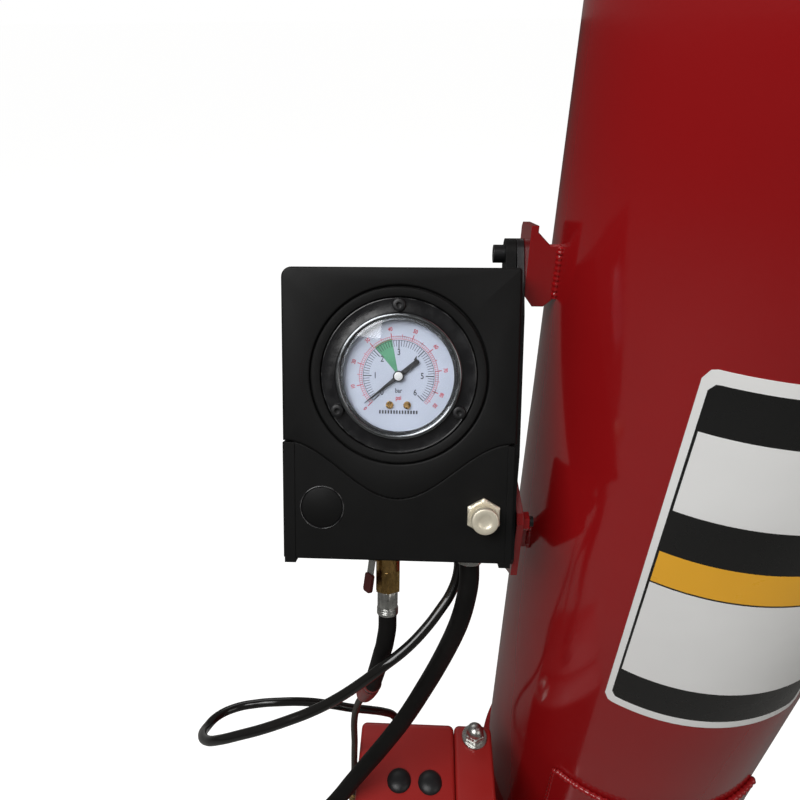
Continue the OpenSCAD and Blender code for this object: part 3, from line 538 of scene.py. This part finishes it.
def make_grip():
    length = (GRIP_TO - GRIP_FROM).length / MM
    outline = [(7.1, 0), (7.5, 0.01), (7.7, 0.03), (7.7, 0.09), (7.3, 0.11), (7.3, 0.13),
               (7.9, 0.16), (8.2, 0.24), (8.4, 0.36), (8.4, 0.56), (8.2, 0.7), (7.8, 0.82),
               (7.1, 0.9), (6.2, 0.95), (4.9, 0.985), (3.9, 1.0)]
    profile = [(0, 0)] + [(r, share * length) for r, share in outline] + [(0, length)]
    grip = lathe("inflator_grip_moulded", along(GRIP_FROM, GRIP_TO), profile, 48)
    finish_piece(grip, "station", "grip_red")
    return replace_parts(grip, "inflator_grip")


def make_chuck():
    length = (CHUCK_TO - CHUCK_FROM).length / MM
    outline = [(4.1, 0), (4.4, 0.02), (4.4, 0.17), (5.6, 0.21), (6, 0.24), (6, 0.34), (5.5, 0.35),
               (5.5, 0.38), (6, 0.39), (6, 0.48), (5.5, 0.49), (5.5, 0.52), (7.2, 0.56),
               (7.6, 0.59), (7.6, 0.86), (7.3, 0.9), (6.2, 0.98), (5.2, 1), (3.4, 1), (3, 0.98),
               (3, 0.82)]
    profile = [(0, 0)] + [(r, share * length) for r, share in outline] + [(0, 0.82 * length)]
    chuck = lathe("air_chuck_turned", along(CHUCK_FROM, CHUCK_TO), profile, 48)
    finish_piece(chuck, "station", "brass")
    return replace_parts(chuck, "air_chuck")


def make_hoses():
    supply = hose("supply_hose_rubber", "supply_hose", "hose_rubber", SUPPLY_ROUTE, 15)
    tube = hose("plastic_tube_bent", "plastic_tube", "tube_pu", TUBE_ROUTE, 8)
    tyre = hose("tyre_hose_rubber", "tyre_hose", "hose_rubber", TYRE_ROUTE, 14)
    whip = hose("whip_hose_rubber", "whip_hose", "hose_rubber", WHIP_ROUTE, 6.5, "whip_rubber")
    grip = make_grip()
    chuck = make_chuck()


# ---------- gauge box ----------

HALF_W, HALF_H = 79.5, 100.5
COVER_SIDE = 1.3
CORNER_R = 7.0
COVER_WALL = 2.5
COVER_DEPTH = 36.0
LIP_DEPTH = 11.8
WAVE_TOP, WAVE_DIP, WAVE_STEPS = -17.5, 40.0, 40
RIB_LEFT, RIB_RIGHT = 8.5, 4.5
BLANK_AT = (-52.3, -64.2)
BUTTON_AT = (59.5, -67)
SCREW_ANGLES = (90, 210, 330)


def wave(x):
    return WAVE_TOP - WAVE_DIP * (1 + math.cos(PI * min(abs(x), HALF_W) / HALF_W)) / 2


def wave_points(x0, x1, shift):
    return [Vector((x, wave(x) + shift))
            for x in (x0 + (x1 - x0) * i / WAVE_STEPS for i in range(WAVE_STEPS + 1))]


def arc(cx, cy, radius, a0, a1, steps=8):
    return [Vector((cx + radius * math.cos(a0 + (a1 - a0) * i / steps),
                    cy + radius * math.sin(a0 + (a1 - a0) * i / steps))) for i in range(steps + 1)]


def make_upper_cover():
    x0, x1 = -HALF_W, HALF_W + COVER_SIDE
    outline = wave_points(x0, x1, 0.25)
    outline += arc(x1 - 2.2, HALF_H - 2.2, 2.2, 0, PI / 2)
    outline += arc(x0 + CORNER_R, HALF_H - CORNER_R, CORNER_R, PI / 2, PI)
    recess = [(61.9, 0), (61.2, -0.2), (60.7, -0.7), (60.5, -1.4), (60.5, -2.5), (59.5, -2.5),
              (59.5, 0.1), (59.3, 0.75), (58.7, 1.2), (54, 1.2), (53.3, 0.9), (53, 0.2),
              (53, -2.5), (42.3, -2.5), (42.3, -5), (61.5, -5), (61.5, -COVER_WALL)]
    cover = shell("upper_cover_moulded", on_face(0, 0), outline, COVER_DEPTH, COVER_WALL, 1.8,
                  [((0, GAUGE_UP), recess)])
    finish_piece(cover, "station", "black_shell")
    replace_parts(cover, "upper_cover")


def make_lower_cover():
    x0, x1 = -HALF_W + RIB_LEFT, HALF_W - RIB_RIGHT
    outline = wave_points(x0, x1, -0.35)[::-1]
    outline += [Vector((x0, -HALF_H)), Vector((x1, -HALF_H))]
    outline = outline[::-1]
    button_hole = [(8.7, 0), (8.3, -0.3), (8.2, -COVER_WALL)]
    blank_hole = [(15.0, 0), (14.4, -0.4), (14.2, -COVER_WALL)]
    face = shell("lower_face", on_face(0, 0, -0.35), outline, COVER_WALL, COVER_WALL, 0.9,
                 [(BUTTON_AT, button_hole), (BLANK_AT, blank_hole)])
    lip_outline = round_rect(x0, -HALF_H, x1, -HALF_H + COVER_WALL, 0.6, 3)
    lip = shell("lower_lip", on_face(0, 0, -1.2), lip_outline, LIP_DEPTH, LIP_DEPTH, 0.4)
    cover = joined("lower_cover_moulded", [face, lip])
    finish_piece(cover, "station", "black_shell")
    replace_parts(cover, "lower_cover")


def make_blank_plug():
    disc = [(0, -0.35), (13.9, -0.35), (14.2, -0.5), (14.3, -1.3), (13.8, -1.6), (13.8, -6), (0, -6)]
    plug = lathe("blank_plug_moulded", on_face(*BLANK_AT), disc, 96)
    finish_piece(plug, "station", "black_gloss", "black_shell")
    rim = [(14.5, -1.3), (14.6, -0.2), (14.8, 0.1), (15.1, 0.2), (15.4, 0.05), (15.5, -0.4)]
    ring = lathe("blank_plug_rim", on_face(*BLANK_AT), rim, 96, ring=True)
    finish_piece(ring, "station", "black_gloss")
    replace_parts(plug, "blank_plug")


def make_flange():
    profile = [(42.05, -2.5), (52.4, -2.5), (52.5, -2.2), (52.5, 0.0), (52.3, 0.4), (51.9, 0.55),
               (51.2, 0.4), (43.4, 0.4), (42.4, 0.5), (42.05, 0.2)]
    flange = lathe("gauge_flange_pressed", on_face(0, GAUGE_UP), profile, 96, ring=True)
    finish_piece(flange, "station", "black_gloss")
    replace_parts(flange, "gauge_flange")


def make_bezel():
    profile = [(40.7, 0.5), (43, 0.5), (43, 2.4), (42.75, 3.3), (42.1, 4.1), (41.2, 4.45),
               (40.3, 4.4), (39.6, 4.1), (39.3, 3.7), (39.5, 3.62), (40.7, 3.62)]
    bezel = lathe("bezel_ring_turned", on_face(0, GAUGE_UP), profile, 96, ring=True)
    finish_piece(bezel, "station", "bezel")
    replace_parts(bezel, "bezel_ring")
    step = [(37.4, 0.2), (39.4, 0.2), (40.2, -0.6), (40.2, -4.1), (38.4, -4.1), (38.2, -2.0)]
    reflector = lathe("dial_rim_ring", on_face(0, GAUGE_UP), step, 96, ring=True)
    finish_piece(reflector, "station", "bezel")


def make_flange_screws():
    screws = []
    for angle in SCREW_ANGLES:
        a = math.radians(angle)
        place = on_face(47.5 * math.cos(a), GAUGE_UP + 47.5 * math.sin(a), 0.5)
        head = [(0, -0.2), (4.2, -0.2), (4.4, 0), (4.4, 2.7), (4.15, 3.15), (3.7, 3.4), (2.0, 3.4),
                (1.75, 3.2)]
        socket = [(1.73, 3.2), (1.73, 1.4), (0, 1.1)]
        screws.append(lathe("screw", place, head + socket, 48))
    piece = joined("flange_screws_black", screws)
    finish_piece(piece, "station", "black_steel")
    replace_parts(piece, "flange_screws")


def make_button():
    cap = [(0, 14.25), (2.2, 14.3), (3.6, 14.5), (4.4, 14.8), (4.9, 15), (8.1, 15), (8.7, 14.8),
           (9, 14.3), (9, 9.5), (8.7, 9), (7.3, 9), (7, 9.3), (7, 13.4), (2.5, 13.4), (2.5, -28),
           (0, -28)]
    button = lathe("bleed_button_cap", on_face(*BUTTON_AT), cap, 64)
    finish_piece(button, "button", "nickel")
    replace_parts(button, "bleed_button")
    nut = prism_nut("nut", on_face(*BUTTON_AT), 22, 3.6, [
        (10.3, 3.6), (10.5, 3.8), (10.5, 4.4), (10.2, 4.6), (6.7, 4.6), (6.5, 4.8), (6.5, 9.1),
        (6.3, 9.3), (5.2, 9.3), (5.2, -11), (2.55, -11), (2.55, -25), (7, -25), (7, -18),
        (8, -18)], bore=8)
    finish_piece(nut, "station", "nickel")
    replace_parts(nut, "button_body")


# ---------- dial ----------

DIAL_OUT = -4.2
INK = 0.03
BOLD = 0.08


def flat_ink(name, quads, slot, material, lift=0.0):
    """Thin printed shapes on the dial; each is a closed list of (x, y) in millimetres."""
    place = on_face(0, GAUGE_UP, DIAL_OUT + lift)
    points, faces = [], []
    for quad in quads:
        n, base = len(quad), len(points)
        for height in (0, INK):
            points += [place @ (Vector((x, y, height)) * MM) for x, y in quad]
        faces.append(tuple(range(base, base + n))[::-1])
        faces.append(tuple(range(base + n, base + 2 * n)))
        faces += [(base + i, base + (i + 1) % n, base + n + (i + 1) % n, base + n + i)
                  for i in range(n)]
    piece = solid(name, points, faces)
    return finish_piece(piece, "station", slot, material)


def polar(radius, degrees):
    a = math.radians(degrees)
    return (radius * math.cos(a), radius * math.sin(a))


def tick(degrees, inner, outer, width):
    (x0, y0), (x1, y1) = polar(inner, degrees), polar(outer, degrees)
    sx, sy = polar(width / 2, degrees + 90)
    return [(x0 - sx, y0 - sy), (x1 - sx, y1 - sy), (x1 + sx, y1 + sy), (x0 + sx, y0 + sy)]


def arc_band(radius, width, start, end, steps=60):
    """Short quads that follow an arc."""
    made = []
    for i in range(steps):
        a, b = (start + (end - start) * k / steps for k in (i, i + 1))
        made.append([polar(radius, a), polar(radius + width, a), polar(radius + width, b),
                     polar(radius, b)])
    return made


def number(name, text, at, size, turn, slot, material):
    """A raised number on the dial, centred at a place and turned in degrees."""
    data = bpy.data.curves.new(name, "FONT")
    data.body = text
    data.size = size * MM
    data.offset = BOLD * MM
    data.align_x = "CENTER"
    data.align_y = "CENTER"
    data.extrude = INK * MM
    letter = bpy.data.objects.new(name, data)
    mesh = bpy.data.meshes.new_from_object(letter)
    mesh.transform(Matrix.Diagonal((0.82, 1, 1, 1)))
    mesh.transform(Matrix.Rotation(math.radians(turn), 4, "Z"))
    mesh.transform(on_face(at[0], GAUGE_UP + at[1], DIAL_OUT + INK))
    bpy.data.objects.remove(letter)
    return bpy.data.objects.new(name, mesh)


def make_dial_print():
    zero, bar_step, psi_step = 225.0, 45.0, 270.0 / 87
    black = [tick(zero - bar_step * k / 10, 20.0, 24.0, 0.36) for k in range(61)]
    black += [tick(zero - bar_step * k, 18.4, 24.0, 0.62) for k in range(7)]
    black += arc_band(24.0, 0.3, zero, zero - 270)
    dashes = 14
    for i in range(dashes):
        x = -12.6 + 25.2 * i / (dashes - 1)
        black.append([(x - 0.55, -26.0), (x + 0.55, -26.0), (x + 0.55, -23.6), (x - 0.55, -23.6)])
    red = [tick(zero - psi_step * k, 25.0, 26.9, 0.26) for k in range(88)]
    red += [tick(zero - psi_step * k, 25.0, 28.2, 0.34) for k in range(0, 88, 5)]
    red += [tick(zero - psi_step * k, 25.0, 29.4, 0.55) for k in range(0, 88, 10)]
    red += arc_band(24.9, 0.26, zero, zero - 270)
    red += arc_band(26.8, 0.26, zero, zero - 270)
    flat_ink("dial_black_marks", black, "dial_white", "ink_black", 0.02)
    flat_ink("dial_red_marks", red, "dial_white", "ink_red", 0.02)
    sector = [polar(3.0, 101), polar(3.0, 130.5)]
    sector += [polar(25.6, 130.5 - 29.5 * i / 12) for i in range(13)]
    flat_ink("dial_green_sector", [sector], "dial_white", "ink_green", -0.005)
    digits = [number(f"bar_{k}", str(k), polar(16.0, zero - bar_step * k), 5.8, 0, "dial_white",
                     "ink_black") for k in range(7)]
    digits.append(number("unit_bar", "bar", (0, -10.1), 4.4, 0, "dial_white", "ink_black"))
    finish_piece(joined("dial_black_numbers", digits), "station", "dial_white", "ink_black")
    psi = [(k, k) for k in range(0, 81, 10)] + [(85, 85)]
    digits = []
    for k, value in psi:
        angle = zero - psi_step * k
        digits.append(number(f"psi_{k}", str(value), polar(31.9, angle), 3.7, angle - 90,
                             "dial_white", "ink_red"))
    digits.append(number("unit_psi", "psi", (0, -15.0), 4.4, 0, "dial_white", "ink_red"))
    finish_piece(joined("dial_red_numbers", digits), "station", "dial_white", "ink_red")


def make_needle_hub():
    profile = [(0, -1.3), (2.9, -1.3), (2.9, -0.95), (2.7, -0.75), (0.55, -0.7), (0.5, -0.9),
               (0, -0.95)]
    hub = lathe("needle_hub_cap", on_face(0, GAUGE_UP), profile, 48)
    finish_piece(hub, "pointer", "needle_black", "hub_metal")


# ---------- air fittings ----------

def make_fittings():
    ferrule = [(0, 0), (7.4, 0), (8.0, 0.3), (8.2, 0.8), (8.2, 1.4), (7.8, 1.8), (8.2, 2.2),
               (8.2, 2.9), (7.8, 3.3), (8.2, 3.7), (8.2, 5.2), (7.8, 5.9), (7.1, 6.0), (0, 6.0)]
    collar = lathe("collar", below_box(-8, 34, -151), ferrule, 64)
    nut = prism_nut("nut", below_box(-8, 34, -137.5), 15, 13.5)
    nipple = joined("hose_nipple_zinc", [nut, collar])
    finish_piece(nipple, "station", "zinc")
    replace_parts(nipple, "hose_nipple")

    crimp = [(0, 0), (8.6, 0), (9, 0.4), (9, 2.6), (8.5, 3), (8.5, 3.6), (9, 4), (9, 6.6),
             (8.5, 7), (8.5, 7.6), (9, 8), (9, 11.4), (8.6, 12), (0, 12)]
    sleeve = lathe("sleeve", below_box(53, 28, -100), crimp, 64)
    hexagon = prism_nut("hexagon", below_box(53, 28, -92), 15, 8)
    fitting = joined("supply_fitting_crimped", [hexagon, sleeve])
    finish_piece(fitting, "station", "zinc")
    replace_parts(fitting, "supply_fitting")

    push = [(0, 0), (6.8, 0), (7, 0.3), (7, 1.5), (6.4, 1.8), (6.4, 14.6), (5.9, 15.2), (5.9, 16),
            (6.5, 16.3), (6.5, 19.4), (6.1, 20), (0, 20)]
    fitting = lathe("tube_fitting_moulded", below_box(46, 46, -92), push, 48)
    finish_piece(fitting, "station", "black_nylon")
    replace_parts(fitting, "tube_fitting")


LEVER_OFF = 12.4
LEVER_TILT = 9
SLEEVE_HALF, SLEEVE_THICK = 4.8, 3.2
SLEEVE_FROM, SLEEVE_TO = -14, -28


def make_lever_sleeve():
    side = Vector(joints["lever_turn"]["axis"]).normalized()
    tilt = Matrix.Rotation(math.radians(LEVER_TILT), 4, "Y")
    origin = turned(-side, -UP.cross(side), UP, VALVE_AT + side * LEVER_OFF * MM)
    flat = tilt @ turned(Y, Z, X, Vector((0.8, 0, 0)) * MM)
    outline = round_rect(-SLEEVE_HALF, SLEEVE_TO, SLEEVE_HALF, SLEEVE_FROM, 2.2)
    sleeve = shell("lever_sleeve_dipped", origin @ flat, outline, SLEEVE_THICK, SLEEVE_THICK, 0.9)
    finish_piece(sleeve, "valve", "lever_red")
    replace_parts(sleeve, "lever_sleeve")


# ---------- column, housing and label ----------

COLUMN_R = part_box("column_tube")[1].x / MM
LABEL_HALF = 32.9
LABEL_Z = (359.0, 682.0)


def bent_sheet(name, outline, radius, thick, material, slot="panel_print"):
    """A thin sheet round the column; the outline is (degrees from the front, height)."""
    n = len(outline)
    points = []
    for r in (radius, radius + thick):
        for degrees, z in outline:
            a = math.radians(degrees) - PI / 2
            points.append(Vector((r * math.cos(a), r * math.sin(a), z)) * MM)
    work = bmesh.new()
    verts = [work.verts.new(p) for p in points]
    inner, outer = verts[:n], verts[n:]
    for ring in (inner, outer):
        half = n // 2
        for i in range(half - 1):
            work.faces.new((ring[i], ring[i + 1], ring[n - 2 - i], ring[n - 1 - i]))
    for i in range(n):
        j = (i + 1) % n
        work.faces.new((inner[i], inner[j], outer[j], outer[i]))
    bmesh.ops.recalc_face_normals(work, faces=work.faces)
    mesh = bpy.data.meshes.new(name)
    work.to_mesh(mesh)
    work.free()
    mesh.shade_smooth()
    mesh.set_sharp_from_angle(angle=math.radians(32))
    return finish_piece(bpy.data.objects.new(name, mesh), "station", slot, material)


def label_outline(half, z0, z1, corner, steps=48):
    """A band on the column as two matching rows of points, bottom then top, with round corners.
    The corner's radius is in degrees of turn, which is 2.5 mm each on the column."""
    per_degree = COLUMN_R * PI / 180
    angles = [-half + 2 * half * i / steps for i in range(steps + 1)]

    def rise(angle):
        near = max(0.0, abs(angle) - (half - corner)) / corner if corner else 0.0
        return corner * per_degree * (1 - math.sqrt(max(0.0, 1 - near * near)))

    bottom = [(a, z0 + rise(a)) for a in angles]
    top = [(a, z1 - rise(a)) for a in angles]
    return bottom + top[::-1]


def make_label():
    base = bent_sheet("label_sheet", label_outline(LABEL_HALF, *LABEL_Z, 3.0), COLUMN_R + 0.02,
                      0.3, "panel_print")
    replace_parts(base, "front_panel")
    lift = COLUMN_R + 0.3
    black, white = "label_black", "panel_print"
    bands = [
        ("label_frame", 31.0, 368, 673, 2.0, 0.06, black),
        ("label_upper_field", 30.3, 577, 640, 0.0, 0.10, white),
        ("label_yellow_band", 30.3, 510.5, 540, 0.0, 0.10, "label_yellow"),
        ("label_lower_field", 30.3, 405.5, 509, 0.0, 0.10, white),
    ]
    for name, half, z0, z1, corner, thick, material in bands:
        bent_sheet(name, label_outline(half, z0, z1, corner), lift, thick, material)


def make_column_cap():
    r, top = COLUMN_R + 2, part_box("column_cap")[1].z / MM
    wall = COLUMN_R - 6.3
    profile = [(0, top), (r - 4, top), (r - 2.3, top - 0.4), (r - 0.9, top - 1.3),
               (r - 0.2, top - 2.6), (r, top - 4), (r, top - 7.2), (r - 0.6, top - 7.95),
               (wall, top - 7.95), (wall, top - 28), (wall - 4, top - 28), (wall - 4, top - 8.2),
               (0, top - 8.2)]
    cap = lathe("column_cap_domed", Matrix.Identity(4), profile, 128)
    finish_piece(cap, "station", "red_paint")
    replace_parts(cap, "column_cap")


def folded_box(name, node, corner, fold):
    """A painted sheet-metal box with a folded top edge, as large as its CAD node."""
    low, high = (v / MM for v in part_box(node))
    outline = round_rect(low.x, low.y, high.x, high.y, corner)
    place = Matrix.Translation(Vector((0, 0, high.z)) * MM)
    box = shell(name, place, outline, high.z - low.z, 3, fold)
    finish_piece(box, "station", "housing_paint")
    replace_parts(box, node)


def make_plugs():
    profile = [(0, 5.6), (2.6, 5.5), (5.2, 5.1), (7.4, 4.4), (9.2, 3.4), (10.6, 2.3), (11.4, 1.3),
               (11.75, 0.6), (11.7, 0.15), (11.2, 0), (8.3, -0.05), (8.3, -7), (0, -7)]
    low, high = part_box("hole_plugs")
    rim = 11.75 * MM
    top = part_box("side_housing")[1].z
    plugs = []
    for at in ((low.x + rim, high.y - rim), (high.x - rim, low.y + rim)):
        plugs.append(lathe("plug", Matrix.Translation((at[0], at[1], top)), profile, 64))
    piece = joined("hole_plugs_moulded", plugs)
    finish_piece(piece, "station", "hard_rubber")
    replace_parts(piece, "hole_plugs")


def make_cap_nut():
    low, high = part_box("foot_washer")
    middle = (low + high) / 2
    washer_place = Matrix.Translation((middle.x, middle.y, low.z))
    rings = [(6.5, 0), (12.6, 0), (13, 0.4), (13, 1.8), (12.5, 2.5), (6.8, 2.5), (6.5, 2.2)]
    washer = lathe("foot_washer_zinc", washer_place, rings, 64, ring=True)
    finish_piece(washer, "station", "zinc")
    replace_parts(washer, "foot_washer")
    place = Matrix.Translation((middle.x, middle.y, high.z))
    dome = [(9.0, 9.0), (8.6, 9.3), (8.5, 9.7)]
    turns = [PI / 2 * i / 8 for i in range(1, 9)]
    dome += [(8.5 * math.cos(a), 9.7 + 7.8 * math.sin(a)) for a in turns]
    nut = prism_nut("cap_nut_plated", place, 18, 9, dome)
    finish_piece(nut, "station", "zinc")
    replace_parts(nut, "cap_nut")


def weld_bead(name, points, radius, seed):
    """A painted weld: a round bead with overlapping ripples along a line of points."""
    draw = random.Random(seed)
    sides = 10
    verts, faces = [], []
    n = len(points)
    for i, p in enumerate(points):
        t = (points[min(i + 1, n - 1)] - points[max(i - 1, 0)]).normalized()
        s = t.cross(Vector((p.x, p.y, 0)).normalized()).normalized()
        u = t.cross(s)
        r = radius * (0.86 + 0.14 * math.cos(PI * i / 2) + draw.uniform(-0.07, 0.07))
        r *= 0.35 if i in (0, n - 1) else 1
        for k in range(sides):
            a = 2 * PI * k / sides
            verts.append((p + r * (math.cos(a) * s + math.sin(a) * u)) * MM)
    for i in range(n - 1):
        for k in range(sides):
            m = (k + 1) % sides
            faces.append((i * sides + k, i * sides + m, (i + 1) * sides + m, (i + 1) * sides + k))
    faces.append(tuple(range(sides))[::-1])
    faces.append(tuple(range((n - 1) * sides, n * sides)))
    bead = solid(name, verts, faces, 60)
    return finish_piece(bead, "station", "red_paint")


def round_column(degrees, z, radius):
    """A point on the column's surface, in millimetres, at an angle from the front."""
    a = math.radians(degrees) - PI / 2
    return Vector((radius * math.cos(a), radius * math.sin(a), z))


BRACKET_WELDS = {"upper_bracket": (-16.0, 676, 714, 3), "lower_bracket": (-34.0, 446, 474, 4)}


def make_welds():
    """The beads round the foot saddle, and one where each bracket's web meets the column."""
    low, high = (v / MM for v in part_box("foot_saddle"))
    half = math.degrees(math.asin(high.x / (COLUMN_R + 5)))
    r = COLUMN_R + 2.5
    top = [round_column(-half + 2 * half * i / 150, high.z + 0.5, r) for i in range(151)]
    weld_bead("saddle_weld_top", top, 3.6, 1)
    for side, name in ((-1, "saddle_weld_left"), (1, "saddle_weld_right")):
        edge = [round_column(side * (half + 0.5), low.z + (high.z - low.z) * i / 110, r - 0.5)
                for i in range(111)]
        weld_bead(name, edge, 3.2, 2)
    for node, (web_y, z0, z1, seed) in BRACKET_WELDS.items():
        degrees = -90 - math.degrees(math.asin(web_y / COLUMN_R))
        line = [round_column(degrees, z0 + (z1 - z0) * i / 40, COLUMN_R + 0.6) for i in range(41)]
        weld_bead(node + "_weld", line, 3.0, seed)


# ---------- what the CAD already shapes well ----------

def paint_cad_nodes():
    """Every CAD node that still shows gets the material of its slot."""
    for row in frame["record"]["subparts"]:
        node = frame["nodes"][row["node"]]
        node.data.materials.clear()
        node.data.materials.append(materials[row["material_slot"]])


def make_floor():
    """A wide pale floor, lit a little from within for the camera alone so that it stays pale."""
    size = 60.0
    mesh = bpy.data.meshes.new("floor")
    mesh.from_pydata([(-size, -size, 0), (size, -size, 0), (size, size, 0), (-size, size, 0)], [],
                     [(0, 1, 2, 3)])
    floor = bpy.data.objects.new("floor", mesh)
    paint = surface("floor_paint", (0.26, 0.26, 0.25), 0.8, tint=0.015, patch=2, grain=120,
                    relief=0.05, specular=0.1)
    tree = paint.node_tree
    shader = tree.nodes["Principled BSDF"]
    seen = add_node(tree, "LightPath", {}).outputs["Is Camera Ray"]
    shader.inputs["Emission Color"].default_value = (1, 1, 1, 1)
    tree.links.new(times(tree, seen, 0.95), shader.inputs["Emission Strength"])
    mesh.materials.append(paint)
    bpy.context.scene.collection.objects.link(floor)


make_camera()
make_hoses()
make_light()
make_floor()
paint_cad_nodes()
make_upper_cover()
make_lower_cover()
make_blank_plug()
make_flange()
make_bezel()
make_flange_screws()
make_button()
make_dial_print()
make_needle_hub()
make_fittings()
make_lever_sleeve()
make_label()
make_column_cap()
folded_box("side_housing_folded", "side_housing", 6, 4)
folded_box("foot_box_folded", "foot_box", 6, 4)
make_plugs()
make_cap_nut()
make_welds()
